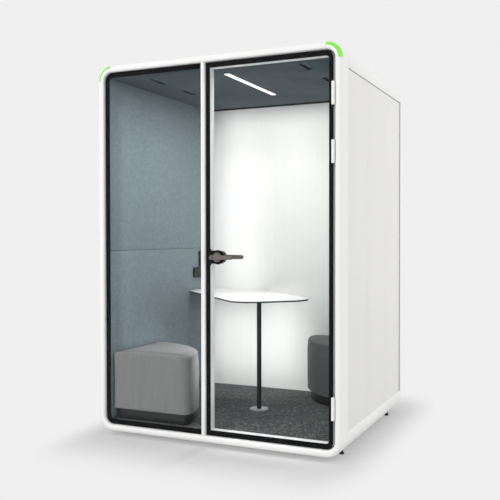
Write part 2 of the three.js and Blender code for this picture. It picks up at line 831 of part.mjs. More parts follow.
const outerArmBack = leverDeep - leverReach;
const spindleEnd = 96;
addPiece('lever_outer', 'bronze', join(
  leverArm(-leverReach, outerArmBack),
  barY(leverX, leverZ, outerArmBack - 2, doorFront + 2, neckRadius),
  barY(leverX, leverZ, doorFront, spindleEnd, spindleRadius, 12),
));
const innerArmFront = 98;
const innerNeckFront = caseBack + 1;
addPiece('lever_inner', 'bronze', cut(
  join(
    leverArm(innerArmFront, innerArmFront + leverDeep),
    barY(leverX, leverZ, innerNeckFront, innerArmFront + 2, neckRadius),
  ),
  barY(leverX, leverZ, innerNeckFront - 5, spindleEnd + 1, spindleRadius + 0.4, 12),
));

// Latch bolt with its bevelled nose
const boltPlan = polygon([
  [boltTip, boltFront],
  [boltTail, boltFront],
  [boltTail, boltBack],
  [boltTip + boltNose, boltBack],
  [boltTip, boltFront + boltLip],
]);
addPiece('latch_bolt', 'steel', flatPlate(boltPlan, leverZ - boltTall / 2, leverZ + boltTall / 2));

// Wall modules on the left felt: power outlet box and control panel with its key
const wallFace = fit - cabinHalfWidth;
addPiece('outlet_box', 'black', box(
  wallFace, outletSpan[0], outletLevels[0], wallFace + outletDeep, outletSpan[1], outletLevels[1],
));

const keyY = (panelSpan[0] + panelSpan[1]) / 2;
const keyZ = panelLevels[0] + keyRise;
const keyBed = wallFace + keyBedDepth;
const keyPocket = keySize / 2 + clearance;
addPiece('control_panel', 'black', cut(
  box(wallFace, panelSpan[0], panelLevels[0], wallFace + panelDeep, panelSpan[1], panelLevels[1]),
  box(
    keyBed, keyY - keyPocket, keyZ - keyPocket,
    wallFace + panelDeep + cutOver, keyY + keyPocket, keyZ + keyPocket,
  ),
));
addPiece('control_key', 'column', box(
  keyBed + keyTravel + clearance, keyY - keySize / 2, keyZ - keySize / 2,
  wallFace + panelDeep + keyProud, keyY + keySize / 2, keyZ + keySize / 2,
));

// Table: a diagonal board from the rear left corner to a straight end with rounded corners
function tableOutline() {
  const left = wallClear - cabinHalfWidth;
  const rear = backInnerFace - wallClear;
  const near = tableMiddle - tableHalfWidth;
  const far = tableMiddle + tableHalfWidth;
  const spot = (along, across) => [(across - along) / Math.SQRT2, (across + along) / Math.SQRT2];
  const cornerArc = (across, from) => {
    const [x, y] = spot(tableEnd + tableCorner, across);
    return arcPoints(x, y, tableCorner, from, from + Math.PI / 2, 10);
  };
  return polygon([
    [left, rear],
    [left, near * Math.SQRT2 - left],
    ...cornerArc(near + tableCorner, -Math.PI * 0.75),
    ...cornerArc(far - tableCorner, -Math.PI / 4),
    [far * Math.SQRT2 - rear, rear],
  ]);
}

const tableBottom = tableTop - tableThickness;
addPiece('table_top', 'tableWhite', flatPlate(tableOutline(), tableBottom, tableTop));
const flangeTop = floorTop + fit + flangeThickness;
addPiece('table_flange', 'steel', barZ(columnX, columnY, floorTop + fit, flangeTop, flangeRadius, 32));
const columnTop = tableBottom - fit;
addPiece('table_column', 'column', join(
  barZ(columnX, columnY, flangeTop + fit, columnTop, columnRadius, 24),
  barZ(columnX, columnY, columnTop - headThickness, columnTop, headRadius, 32),
));

// Stools: a quarter-round outline with its square corner in the corner of the cabin
function stoolOutline(inset) {
  const round = stoolTipRadius - inset;
  const corner = Math.max(stoolCornerRadius - inset, stoolCornerLeast);
  const tipReach = stoolRadius - stoolTipRadius;
  const tipAngle = Math.asin(stoolTipRadius / tipReach);
  const tipAlong = Math.sqrt(tipReach ** 2 - stoolTipRadius ** 2);
  return [
    ...arcPoints(inset + corner, inset + corner, corner, Math.PI, Math.PI * 1.5, 6),
    ...arcPoints(tipAlong, stoolTipRadius, round, -Math.PI / 2, tipAngle, 8),
    ...arcPoints(0, 0, stoolRadius - inset, tipAngle, Math.PI / 2 - tipAngle, 16).slice(1, -1),
    ...arcPoints(stoolTipRadius, tipAlong, round, Math.PI / 2 - tipAngle, Math.PI, 8),
  ];
}

// Padded body: bottom edge rolled under, sides drawn in at mid height, rounded top edge and a crown
function stoolCushion() {
  const rings = [];
  const addRing = (outline, z) => rings.push(outline.map(([x, y]) => [x, y, z]));
  const bottomRoll = 8;
  addRing(stoolOutline(bottomRoll), stoolBodyBottom);
  addRing(stoolOutline(bottomRoll * 0.3), stoolBodyBottom + bottomRoll * 0.5);
  const sideBottom = stoolBodyBottom + bottomRoll;
  const sideTop = stoolEdgeTop - stoolEdgeRadius;
  for (const step of [0, 0.25, 0.5, 0.75, 1]) {
    const inset = stoolDrawIn * Math.sin(Math.PI * step);
    addRing(stoolOutline(inset), sideBottom + (sideTop - sideBottom) * step);
  }
  for (const [across, up] of arcPoints(0, 0, 1, 0, Math.PI / 2, 4).slice(1)) {
    addRing(stoolOutline(stoolEdgeRadius * (1 - across)), sideTop + stoolEdgeRadius * up);
  }
  const rim = stoolOutline(stoolEdgeRadius);
  const middle = stoolRadius * stoolMiddleShare;
  const drawn = (value, share) => middle + (value - middle) * share;
  for (const share of [0.8, 0.55, 0.28]) {
    const ring = rim.map(([x, y]) => [drawn(x, share), drawn(y, share)]);
    addRing(ring, stoolEdgeTop + stoolCrown * (1 - share ** 2));
  }
  const { positions, index, size } = skin(rings, false);
  const foot = positions.length / 3;
  positions.push(middle, middle, stoolBodyBottom);
  positions.push(middle, middle, stoolEdgeTop + stoolCrown);
  const end = (rings.length - 1) * size;
  for (let j = 0; j < size; j += 1) {
    const k = (j + 1) % size;
    index.push(foot, j, k);
    index.push(foot + 1, end + k, end + j);
  }
  return outwardGeometry(positions, index);
}

function addStool(name, finish, x, y, turn) {
  const group = new THREE.Group();
  group.position.set(x, y, 0);
  group.rotation.z = turn;
  pod.add(group);
  const base = polygon(stoolOutline(plinthInset));
  addPiece(`${name}_plinth`, 'black', flatPlate(base, floorTop + fit, stoolBodyBottom - fit), group);
  addPiece(`${name}_cushion`, finish, stoolCushion(), group);
}

addStool('stool_front', 'greyFabric', stoolWallGap - cabinHalfWidth, stoolFront, 0);
addStool('stool_rear', 'darkFabric', stoolRearX, stoolRear, Math.PI);

// Levelling feet: a round pad with its stem in the lower rail
for (const [side, sign] of [['left', -1], ['right', 1]]) {
  for (const [end, y] of [['front', footDepths[0]], ['rear', footDepths[1]]]) {
    addPiece(`foot_${end}_${side}`, 'rubber', join(
      barZ(sign * footX, y, 0, padThickness, padRadius, 24),
      barZ(sign * footX, y, padThickness - 2, stemTop, stemRadius),
    ));
  }
}

const model = new THREE.Group();
model.add(pod);
export default model;
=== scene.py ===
import bmesh
import bpy
import math
from mathutils import Matrix, Vector


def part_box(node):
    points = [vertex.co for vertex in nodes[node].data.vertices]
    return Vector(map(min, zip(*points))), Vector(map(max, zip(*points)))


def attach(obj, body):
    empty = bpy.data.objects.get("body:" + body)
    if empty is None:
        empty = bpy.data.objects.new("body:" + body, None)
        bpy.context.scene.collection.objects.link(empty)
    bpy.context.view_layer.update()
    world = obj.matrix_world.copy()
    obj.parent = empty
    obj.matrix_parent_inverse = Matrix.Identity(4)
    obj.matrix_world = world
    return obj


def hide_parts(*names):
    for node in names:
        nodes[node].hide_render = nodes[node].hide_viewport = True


# Acoustic office pod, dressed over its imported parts. Sizes are in mm: x across,
# t behind the front face, z up from the ground.
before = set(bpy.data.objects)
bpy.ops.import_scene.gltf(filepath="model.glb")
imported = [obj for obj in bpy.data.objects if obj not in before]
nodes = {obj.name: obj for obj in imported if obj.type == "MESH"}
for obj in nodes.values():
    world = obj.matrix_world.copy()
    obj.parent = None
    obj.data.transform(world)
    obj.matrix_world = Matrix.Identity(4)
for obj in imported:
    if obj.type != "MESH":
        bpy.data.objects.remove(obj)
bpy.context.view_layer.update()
scene = bpy.context.scene
mm = 0.001
frontFace = -684
print("frame loaded:", len(nodes), "parts")


def place(x, t, z):
    return Vector((x, t + frontFace, z)) * mm


def measured(point):
    return Vector((point.x / mm, point.y / mm - frontFace, point.z / mm))


# Camera, at the photograph's angle
shot = {
    "eye": (2.0336, -4.5818, 1.2427),
    "lens": 54.26,
    "sensor": 36,
    "turn": 24.587,
    "tilt": -1.064,
    "roll": -0.07,
}
cameraData = bpy.data.cameras.new("photoCamera")
cameraData.lens = shot["lens"]
cameraData.sensor_width = shot["sensor"]
camera = bpy.data.objects.new("photoCamera", cameraData)
scene.collection.objects.link(camera)
aim = Matrix.Rotation(math.radians(shot["turn"]), 4, "Z")
aim = aim @ Matrix.Rotation(math.radians(90 + shot["tilt"]), 4, "X")
aim = aim @ Matrix.Rotation(math.radians(shot["roll"]), 4, "Z")
camera.matrix_world = Matrix.Translation(shot["eye"]) @ aim
scene.camera = camera
scene.view_settings.view_transform = "Standard"


# Shader wiring
class Wire:
    def __init__(self, tree, socket):
        self.tree = tree
        self.socket = socket

    def math(self, operation, first, second=0.0):
        node = self.tree.nodes.new("ShaderNodeMath")
        node.operation = operation
        plug(self.tree, node.inputs[0], first)
        plug(self.tree, node.inputs[1], second)
        return Wire(self.tree, node.outputs[0])

    def __add__(self, other):
        return self.math("ADD", self, other)

    def __radd__(self, other):
        return self.math("ADD", other, self)

    def __sub__(self, other):
        return self.math("SUBTRACT", self, other)

    def __rsub__(self, other):
        return self.math("SUBTRACT", other, self)

    def __mul__(self, other):
        return self.math("MULTIPLY", self, other)

    def __rmul__(self, other):
        return self.math("MULTIPLY", other, self)

    def __pow__(self, other):
        return self.math("POWER", self, other)

    def __abs__(self):
        return self.math("ABSOLUTE", self)


def plug(tree, slot, value):
    if isinstance(value, Wire):
        tree.links.new(value.socket, slot)
    else:
        slot.default_value = value


class Finish:
    def __init__(self, name, holder=None):
        self.holder = holder or bpy.data.materials.new(name)
        self.holder.use_nodes = True
        self.tree = self.holder.node_tree
        self.tree.nodes.clear()

    def node(self, kind, settings=None, inputs=None, output=0):
        made = self.tree.nodes.new(kind)
        for name, value in (settings or {}).items():
            if name == "stops":
                setStops(made.color_ramp, value)
            else:
                setattr(made, name, value)
        for name, value in (inputs or {}).items():
            plug(self.tree, made.inputs[name], value)
        return Wire(self.tree, made.outputs[output]) if len(made.outputs) else None

    def spot(self, turn=(0, 0, 0), stretch=(1, 1, 1)):
        where = self.node("ShaderNodeTexCoord", output="Object")
        inputs = {"Vector": where, "Rotation": turn, "Scale": stretch}
        return self.node("ShaderNodeMapping", inputs=inputs)

    def noise(self, scale, detail=2.0, roughness=0.5, turn=(0, 0, 0), stretch=(1, 1, 1)):
        inputs = {
            "Vector": self.spot(turn, stretch),
            "Scale": scale,
            "Detail": detail,
            "Roughness": roughness,
        }
        return self.node("ShaderNodeTexNoise", inputs=inputs, output="Fac")

    def blend(self, factor, first, second):
        inputs = {0: factor, 6: shade(first), 7: shade(second)}
        return self.node("ShaderNodeMix", {"data_type": "RGBA"}, inputs, output=2)

    def ramp(self, factor, stops):
        return self.node("ShaderNodeValToRGB", {"stops": stops}, {"Fac": factor})

    def surface(self, colour, rough, relief=None, strength=0.3, distance=0.0004, fixed=None):
        inputs = {"Base Color": shade(colour), "Roughness": rough}
        if relief is not None:
            bumpInputs = {"Strength": strength, "Distance": distance, "Height": relief}
            inputs["Normal"] = self.node("ShaderNodeBump", inputs=bumpInputs)
        inputs.update(fixed or {})
        return self.node("ShaderNodeBsdfPrincipled", inputs=inputs)

    # 1 where the camera sees a surface itself, in a mirror or through glass
    def seen(self):
        looks = ("Is Camera Ray", "Is Glossy Ray", "Is Transmission Ray")
        direct, mirrored, through = [self.node("ShaderNodeLightPath", output=name) for name in looks]
        return direct.math("MAXIMUM", direct.math("MAXIMUM", direct, mirrored), through)

    def done(self, shader, kind="ShaderNodeOutputMaterial"):
        self.node(kind, inputs={"Surface": shader})
        return self.holder


def shade(colour):
    return colour if isinstance(colour, Wire) else (*colour, 1.0)


def threeTones(stops, look):
    return list(zip(stops, (look["low"], look["middle"], look["high"])))


def setStops(ramp, stops):
    while len(ramp.elements) < len(stops):
        ramp.elements.new(1.0)
    for element, (position, colour) in zip(ramp.elements, stops):
        element.position = position
        element.color = (*colour, 1.0)


# Finishes: first how each kind is made, then one dictionary for each look
coating = {"cloud": 3.0, "smear": 22.0, "uneven": 0.12, "upright": (1.0, 1.0, 0.012), "deep": 0.0002}


def coatedMetal(name, look):
    coat = Finish(name)
    cloud = coat.noise(coating["cloud"], 3.0)
    peel = coat.noise(look["peel"], 2.0)
    smear = coat.noise(coating["smear"], 4.0)
    tone = cloud
    if "grain" in look:
        grain = coat.noise(look["grain"], 5.0, 0.7, stretch=coating["upright"])
        tone = 0.3 * cloud + 0.7 * grain
    colour = coat.blend(tone, look["low"], look["high"])
    rough = look["rough"] + coating["uneven"] * (smear - 0.5)
    fixed = look.get("fixed")
    return coat.done(coat.surface(colour, rough, peel, look["relief"], coating["deep"], fixed))


felting = {
    "across": 260.0, "acrossTurn": (0.3, 0.2, 0.5), "acrossStretch": (1.0, 0.25, 1.0),
    "down": 300.0, "downTurn": (0.9, 0.4, 0.1), "downStretch": (1.0, 1.0, 0.22),
    "clumps": 38.0, "stops": (0.32, 0.5, 0.66),
    "relief": 0.55, "deep": 0.0012, "fixed": {"Sheen Weight": 0.08},
}


def feltBoard(name, look):
    felt = Finish(name)
    across = felt.noise(felting["across"], 3.0, 0.6, felting["acrossTurn"], felting["acrossStretch"])
    down = felt.noise(felting["down"], 3.0, 0.6, felting["downTurn"], felting["downStretch"])
    clumps = felt.noise(felting["clumps"], 4.0, 0.65)
    fibres = 0.5 * across + 0.5 * down
    tone = 0.75 * fibres + 0.25 * clumps
    colour = felt.ramp(tone, threeTones(felting["stops"], look))
    rough = 0.9 + 0.08 * clumps
    made = felt.surface(colour, rough, tone, felting["relief"], felting["deep"], felting["fixed"])
    return felt.done(made)


def carpetPile(name, look):
    pile = Finish(name)
    inputs = {"Vector": pile.spot(), "Scale": look["loops"]}
    tuft = pile.node("ShaderNodeTexVoronoi", inputs=inputs, output="Color")
    gap = pile.node("ShaderNodeTexVoronoi", inputs=inputs, output="Distance")
    fleck = pile.node("ShaderNodeSeparateColor", inputs={"Color": tuft}, output=0)
    patch = pile.noise(look["patch"], 3.0)
    tone = fleck + 0.18 * (patch - 0.5)
    colour = pile.ramp(tone, look["flecks"])
    relief = (1 - 0.9 * gap) * (0.75 + 0.25 * fleck)
    made = pile.surface(colour, look["rough"], relief, look["relief"], look["deep"], look["fixed"])
    return pile.done(made)


weaving = {
    "yarn": 420.0, "upright": (1.0, 1.0, 0.12), "level": (0.12, 0.12, 1.0),
    "streak": 60.0, "streakUpright": (1.0, 1.0, 0.06), "stops": (0.2, 0.5, 0.8),
    "rough": 0.95, "relief": 0.5, "deep": 0.0009, "fixed": {"Sheen Weight": 0.2},
}


def wovenCloth(name, look):
    cloth = Finish(name)
    where = cloth.node("ShaderNodeTexCoord", output="Object")
    facing = cloth.node("ShaderNodeNewGeometry", output="Normal")
    split, share = [
        [cloth.node("ShaderNodeSeparateXYZ", inputs={"Vector": vector}, output=i) for i in range(3)]
        for vector in (where, facing)
    ]
    share = [abs(part) for part in share]
    turns = 2 * math.pi / look["thread"]
    wave = [axis.math("SINE", turns * axis) for axis in split]
    faceX = (share[0] ** 3.0) * (wave[1] * wave[2])
    faceY = (share[1] ** 3.0) * (wave[0] * wave[2])
    faceZ = (share[2] ** 3.0) * (wave[0] * wave[1])
    weave = 0.5 + 0.5 * (faceX + faceY + faceZ)
    upright = cloth.noise(weaving["yarn"], 2.0, 0.5, stretch=weaving["upright"])
    level = cloth.noise(weaving["yarn"], 2.0, 0.5, stretch=weaving["level"])
    streak = cloth.noise(weaving["streak"], 4.0, 0.65, stretch=weaving["streakUpright"])
    yarn = 0.5 * upright + 0.5 * level
    tone = 0.45 * yarn + 0.35 * weave + 0.2 * streak
    colour = cloth.ramp(tone, threeTones(weaving["stops"], look))
    made = cloth.surface(
        colour, weaving["rough"], tone, weaving["relief"], weaving["deep"], weaving["fixed"],
    )
    return cloth.done(made)


brushing = {"streak": 160.0, "cloud": 14.0, "uneven": 0.16, "relief": 0.06, "deep": 0.0002}


def brushedMetal(name, look):
    metal = Finish(name)
    streak = metal.noise(brushing["streak"], 4.0, 0.6, stretch=look["grain"])
    cloud = metal.noise(brushing["cloud"], 3.0)
    colour = metal.blend(0.6 * streak + 0.4 * cloud, look["low"], look["high"])
    rough = look["rough"] + brushing["uneven"] * (streak - 0.5)
    fixed = {"Metallic": look["metal"]}
    return metal.done(metal.surface(colour, rough, streak, brushing["relief"], brushing["deep"], fixed))


def clearGlass(name, look):
    glass = Finish(name)
    shine = glass.node("ShaderNodeFresnel", inputs={"IOR": look["ior"]})
    cloud = glass.noise(look["cloud"], 3.0)
    seen = shine * look["gloss"] + look["haze"] * cloud
    mirror = glass.surface(look["sheen"], look["rough"], fixed={"Metallic": 1.0})
    through = glass.node("ShaderNodeBsdfTransparent", inputs={"Color": shade(look["tint"])})
    mixed = glass.node("ShaderNodeMixShader", inputs={0: seen, 1: through, 2: mirror})
    return glass.done(mixed)


def laminateTop(name, look):
    board = Finish(name)
    height = board.node("ShaderNodeSeparateXYZ", inputs={"Vector": board.spot()}, output=2)
    grain = board.noise(look["grain"], 2.0)
    cloud = board.noise(look["cloud"], 3.0)
    face = board.blend(cloud, look["low"], look["high"])
    onEdge = height.math("LESS_THAN", height, look["bandTop"] * mm)
    colour = board.blend(onEdge, face, look["band"])
    rough = look["rough"] + look["uneven"] * (grain - 0.5)
    return board.done(board.surface(colour, rough, grain, look["relief"], look["deep"]))


def litCover(name, look):
    cover = Finish(name)
    cloud = cover.noise(look["cloud"], 2.0)
    glow = cover.blend(cloud, look["low"], look["high"])
    fixed = {"Emission Color": glow, "Emission Strength": look["power"]}
    return cover.done(cover.surface(look["base"], look["rough"], fixed=fixed))


white = {
    "low": (0.875, 0.875, 0.87), "high": (0.915, 0.915, 0.905),
    "peel": 900.0, "rough": 0.4, "relief": 0.08,
}
board = {
    "low": (0.75, 0.745, 0.73), "high": (0.88, 0.875, 0.86),
    "peel": 700.0, "rough": 0.52, "relief": 0.06, "grain": 80.0,
}
deck = {
    "low": (0.03, 0.03, 0.032), "high": (0.045, 0.045, 0.047),
    "peel": 300.0, "rough": 0.75, "relief": 0.3,
}
slate = {
    "low": (0.142, 0.182, 0.209), "middle": (0.232, 0.29, 0.327), "high": (0.315, 0.385, 0.428),
}
shadowFelt = {
    "low": (0.027, 0.044, 0.054), "middle": (0.047, 0.073, 0.088), "high": (0.07, 0.101, 0.119),
}
flecked = {
    "loops": 85.0, "patch": 9.0,
    "flecks": [
        (0.1, (0.02, 0.021, 0.022)), (0.5, (0.05, 0.052, 0.054)),
        (0.85, (0.085, 0.087, 0.088)), (0.95, (0.2, 0.2, 0.2)),
    ],
    "rough": 0.97, "relief": 0.8, "deep": 0.003, "fixed": {"Sheen Weight": 0.15},
}
clear = {
    "ior": 1.45, "gloss": 0.05, "cloud": 6.0, "haze": 0.002, "rough": 0.03,
    "sheen": (0.95, 0.97, 0.97), "tint": (0.985, 0.991, 0.989),
}
frit = {
    "low": (0.004, 0.004, 0.005), "high": (0.007, 0.007, 0.008),
    "peel": 500.0, "rough": 0.45, "relief": 0.0, "fixed": {"Specular IOR Level": 0.05},
}
moulded = {
    "low": (0.012, 0.012, 0.013), "high": (0.02, 0.02, 0.021),
    "peel": 1500.0, "rough": 0.5, "relief": 0.3,
}
rubber = {
    "low": (0.012, 0.012, 0.012), "high": (0.022, 0.022, 0.022),
    "peel": 600.0, "rough": 0.8, "relief": 0.2,
}
bronze = {
    "low": (0.155, 0.134, 0.125), "high": (0.23, 0.203, 0.19),
    "rough": 0.45, "metal": 0.6, "grain": (1, 6, 6),
}
steel = {
    "low": (0.4, 0.405, 0.41), "high": (0.52, 0.525, 0.53),
    "rough": 0.4, "metal": 0.35, "grain": (6, 6, 1),
}
dark = {
    "low": (0.016, 0.019, 0.022), "high": (0.026, 0.03, 0.034),
    "peel": 900.0, "rough": 0.45, "relief": 0.1, "fixed": {"Metallic": 0.3},
}
tableWhite = {
    "low": (0.93, 0.93, 0.925), "high": (0.96, 0.96, 0.955),
    "band": (0.02, 0.02, 0.022), "bandTop": 832.5, "grain": 500.0, "cloud": 4.0,
    "rough": 0.42, "uneven": 0.1, "relief": 0.05, "deep": 0.0002,
}
greyCloth = {
    "thread": 0.0026,
    "low": (0.12, 0.12, 0.121), "middle": (0.215, 0.215, 0.216), "high": (0.32, 0.32, 0.32),
}
darkCloth = {
    "thread": 0.0026,
    "low": (0.049, 0.05, 0.052), "middle": (0.085, 0.087, 0.09), "high": (0.133, 0.133, 0.137),
}
green = {
    "cloud": 40.0, "base": (0.04, 0.16, 0.015), "rough": 0.35,
    "low": (0.17, 0.62, 0.05), "high": (0.22, 0.7, 0.07), "power": 1.0,
}
opal = {
    "cloud": 12.0, "base": (0.9, 0.9, 0.88), "rough": 0.35,
    "low": (1.0, 0.97, 0.92), "high": (1.0, 1.0, 0.97), "power": 1.2,
}

finishes = {
    "white_frame": coatedMetal("frameWhite", white),
    "white_board": coatedMetal("boardWhite", board),
    "base_board": coatedMetal("deckBoard", deck),
    "slate_felt": feltBoard("slateFelt", slate),
    "dark_felt": feltBoard("ceilingFelt", shadowFelt),
    "carpet": carpetPile("fleckedCarpet", flecked),
    "clear_glass": clearGlass("clearGlass", clear),
    "black_border": coatedMetal("blackBorder", frit),
    "black_plastic": coatedMetal("blackPlastic", moulded),
    "black_rubber": coatedMetal("blackRubber", rubber),
    "bronze_metal": brushedMetal("bronzeMetal", bronze),
    "satin_steel": brushedMetal("satinSteel", steel),
    "dark_metal": coatedMetal("darkMetal", dark),
    "white_laminate": laminateTop("tableLaminate", tableWhite),
    "grey_fabric": wovenCloth("greyWeave", greyCloth),
    "dark_fabric": wovenCloth("darkWeave", darkCloth),
    "green_light": litCover("statusGreen", green),
    "opal_cover": litCover("lampOpal", opal),
}
print("finishes made:", len(finishes))


# Modelling helpers
mergeGap = 0.02 * mm
flatAngle = math.radians(0.5)
mostly, hardly = 0.9, 0.1  # shares of a direction, for picking
hair, touch, around = 0.01, 0.1, 1  # distances in mm, for picking


def startFresh():
    active = bpy.context.view_layer.objects.active
    if active and active.mode != "OBJECT":
        bpy.ops.object.mode_set(mode="OBJECT")
    bpy.ops.object.select_all(action="DESELECT")


def activate(piece, mode="OBJECT"):
    if bpy.context.view_layer.objects.active != piece or piece.mode != mode:
        startFresh()
        piece.select_set(True)
        bpy.context.view_layer.objects.active = piece
        bpy.ops.object.mode_set(mode=mode)


def finishPrimitive(name):
    piece = bpy.context.object
    piece.name = name
    bpy.ops.object.transform_apply(location=True, rotation=True, scale=True)
    return piece


def addBlock(name, low, high):
    startFresh()
    first, last = place(*low), place(*high)
    bpy.ops.mesh.primitive_cube_add(size=1, location=(first + last) / 2)
    bpy.context.object.scale = last - first
    return finishPrimitive(name)


def addBar(name, centre, radius, length, along, sides):
    startFresh()
    turn = {"Z": (0, 0, 0), "Y": (math.pi / 2, 0, 0), "X": (0, math.pi / 2, 0)}[along]
    bpy.ops.mesh.primitive_cylinder_add(
        vertices=sides, radius=radius * mm, depth=length * mm,
        location=place(*centre), rotation=turn,
    )
    return finishPrimitive(name)


def copyNode(name, nodeName):
    startFresh()
    piece = bpy.data.objects.new(name, nodes[nodeName].data.copy())
    scene.collection.objects.link(piece)
    pick(piece, "VERT", anywhere)
    bpy.ops.mesh.remove_doubles(threshold=mergeGap)
    bpy.ops.mesh.dissolve_limited(angle_limit=flatAngle)
    return piece


def anywhere(spot, way):
    return True


# Selects, in edit mode, what passes the test on its place and its normal or direction
def pick(piece, kind, test):
    activate(piece, "EDIT")
    bpy.ops.mesh.select_mode(type=kind)
    bpy.ops.mesh.select_all(action="DESELECT")
    mesh = bmesh.from_edit_mesh(piece.data)
    for part in {"VERT": mesh.verts, "EDGE": mesh.edges, "FACE": mesh.faces}[kind]:
        if kind == "FACE":
            spot, way = part.calc_center_median(), part.normal
        elif kind == "EDGE":
            first, last = part.verts[0].co, part.verts[1].co
            spot, way = (first + last) / 2, (last - first).normalized()
        else:
            spot, way = part.co, part.normal
        if test(measured(spot), way):
            part.select_set(True)
    mesh.select_flush_mode()
    bmesh.update_edit_mesh(piece.data)


def roundOff(width, steps):
    bpy.ops.mesh.bevel(offset=width * mm, segments=steps, profile=0.5, affect="EDGES")


def cutAt(piece, spot, normal, **settings):
    pick(piece, "VERT", anywhere)
    bpy.ops.mesh.bisect(plane_co=place(*spot), plane_no=normal, **settings)


def pushOut(x, t, z):
    bpy.ops.mesh.extrude_region_move(TRANSFORM_OT_translate={"value": Vector((x, t, z)) * mm})


def fatten(width):
    bpy.ops.mesh.extrude_region_shrink_fatten(TRANSFORM_OT_shrink_fatten={"value": width * mm})


def applyModifier(piece, kind, **settings):
    activate(piece)
    modifier = piece.modifiers.new(kind.lower(), kind)
    for name, value in settings.items():
        setattr(modifier, name, value)
    bpy.ops.object.modifier_apply(modifier=modifier.name)


def easeEdges(piece, width, steps=2, angle=40):
    limit = math.radians(angle)
    applyModifier(
        piece, "BEVEL", width=width * mm, segments=steps, limit_method="ANGLE", angle_limit=limit,
    )


def joinPieces(name, *pieces):
    activate(pieces[0])
    for piece in pieces:
        piece.select_set(True)
    bpy.ops.object.join()
    pieces[0].name = name
    return pieces[0]


def copyPiece(piece, name, shift=(0, 0, 0)):
    startFresh()
    twin = piece.copy()
    twin.data = piece.data.copy()
    twin.name = name
    scene.collection.objects.link(twin)
    twin.data.transform(Matrix.Translation(Vector(shift) * mm))
    return twin


# Gives a finished piece its shading, finish, body and the parts it stands for
def settle(piece, body, slot, *replaced, angle=32):
    activate(piece)
    bpy.ops.object.shade_smooth_by_angle(angle=math.radians(angle))
    piece.data.materials.clear()
    piece.data.materials.append(finishes[slot])
    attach(piece, body)
    if replaced:
        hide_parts(*replaced)


# A part taken over as it is, with eased edges
def easedCopy(name, nodeName, body, slot, width, steps=3):
    piece = copyNode(name, nodeName)
    easeEdges(piece, width, steps)
    settle(piece, body, slot, nodeName)


def dress(nodeName, slot):
    for holder in nodes[nodeName].material_slots:
        holder.material = finishes[slot]


# How far a point lies inside a rounded rectangle in the front view
def insideBy(x, z, edge):
    halfX, halfZ = edge["half"], (edge["top"] - edge["bottom"]) / 2
    overX = abs(x) - halfX + edge["radius"]
    overZ = abs(z - (edge["top"] + edge["bottom"]) / 2) - halfZ + edge["radius"]
    outside = math.hypot(max(overX, 0), max(overZ, 0)) + min(max(overX, overZ), 0)
    return edge["radius"] - outside


# Frames
outline = {"half": 795, "bottom": 25, "top": 2300, "radius": 95}
cornerSteps = 20
loopSlack = 1.5
frontFrame = {
    "start": 0, "end": 115, "face": 42,
    "outer": (22, 9), "inner": (14, 6), "seam": (0.8, 2),
}
rearFrame = {
    "start": 1335, "end": 1420, "face": 70,
    "outer": (45, 12), "inner": (4, 3), "seam": (0.8, 2),
}


def ringFrame(name, ring, shown, hidden):
    piece = addBlock(
        name,
        (-outline["half"], ring["start"], outline["bottom"]),
        (outline["half"], ring["end"], outline["top"]),
    )
    pick(piece, "EDGE", lambda spot, way: abs(way.y) > mostly)
    roundOff(outline["radius"], cornerSteps)
    pick(piece, "FACE", lambda spot, way: abs(way.y) > mostly)
    bpy.ops.mesh.inset(thickness=ring["face"] * mm)
    bpy.ops.mesh.bridge_edge_loops()

    def loopAt(t, inset):
        pick(piece, "EDGE", lambda spot, way: (
            abs(spot.y - t) < hair
            and abs(insideBy(spot.x, spot.z, outline) - inset) < loopSlack))

    loopAt(shown, 0)
    roundOff(*ring["outer"])
    loopAt(shown, ring["face"])
    roundOff(*ring["inner"])
    loopAt(hidden, 0)
    roundOff(*ring["seam"])
    return piece


# Status lights: the fillet faces of the upper corners, lifted off as two strips
lightStrip = {
    "from": 0.139, "to": 0.999, "corner": 95, "gap": 0.4, "deep": 6.5, "thick": 5.5,
    "edge": (0.5, 2, 50),
}


def onStrip(spot, way):
    corner = lightStrip["corner"]
    inCorner = abs(spot.x) > outline["half"] - corner and spot.z > outline["top"] - corner
    outer = insideBy(spot.x, spot.z, outline) < frontFrame["outer"][0]
    return inCorner and outer and lightStrip["from"] < -way.y < lightStrip["to"]


front = ringFrame("frontFrame", frontFrame, frontFrame["start"], frontFrame["end"])
pick(front, "FACE", onStrip)
bpy.ops.mesh.duplicate()
bpy.ops.mesh.separate(type="SELECTED")
bpy.ops.object.mode_set(mode="OBJECT")
strips = [piece for piece in bpy.context.selected_objects if piece != front][0]
pick(front, "FACE", onStrip)
bpy.ops.mesh.inset(thickness=lightStrip["gap"] * mm)
fatten(-lightStrip["deep"])
settle(front, "shell", "white_frame", "front_frame")

activate(strips, "EDIT")
bpy.ops.mesh.select_all(action="SELECT")
bpy.ops.mesh.separate(type="LOOSE")
bpy.ops.object.mode_set(mode="OBJECT")
for strip in list(bpy.context.selected_objects):
    side = "right" if strip.data.vertices[0].co.x > 0 else "left"
    strip.name = "statusLight" + side.capitalize()
    applyModifier(strip, "SOLIDIFY", thickness=lightStrip["thick"] * mm, offset=-1)
    easeEdges(strip, *lightStrip["edge"])
    settle(strip, "shell", "green_light", "status_light_" + side)

rear = ringFrame("rearFrame", rearFrame, rearFrame["end"], rearFrame["start"])
settle(rear, "shell", "white_frame", "rear_frame")
print("frames and status lights done")

# Edge rails between the frames
rail = {
    "leg": 130, "wall": 25, "start": 115.3, "end": 1334.7, "edge": (0.8, 2, 60),
    "bore": 6.5, "boreMiddle": 40, "boreLong": 80, "boreSides": 24,
    "footX": 730, "footT": (205, 1220),
}


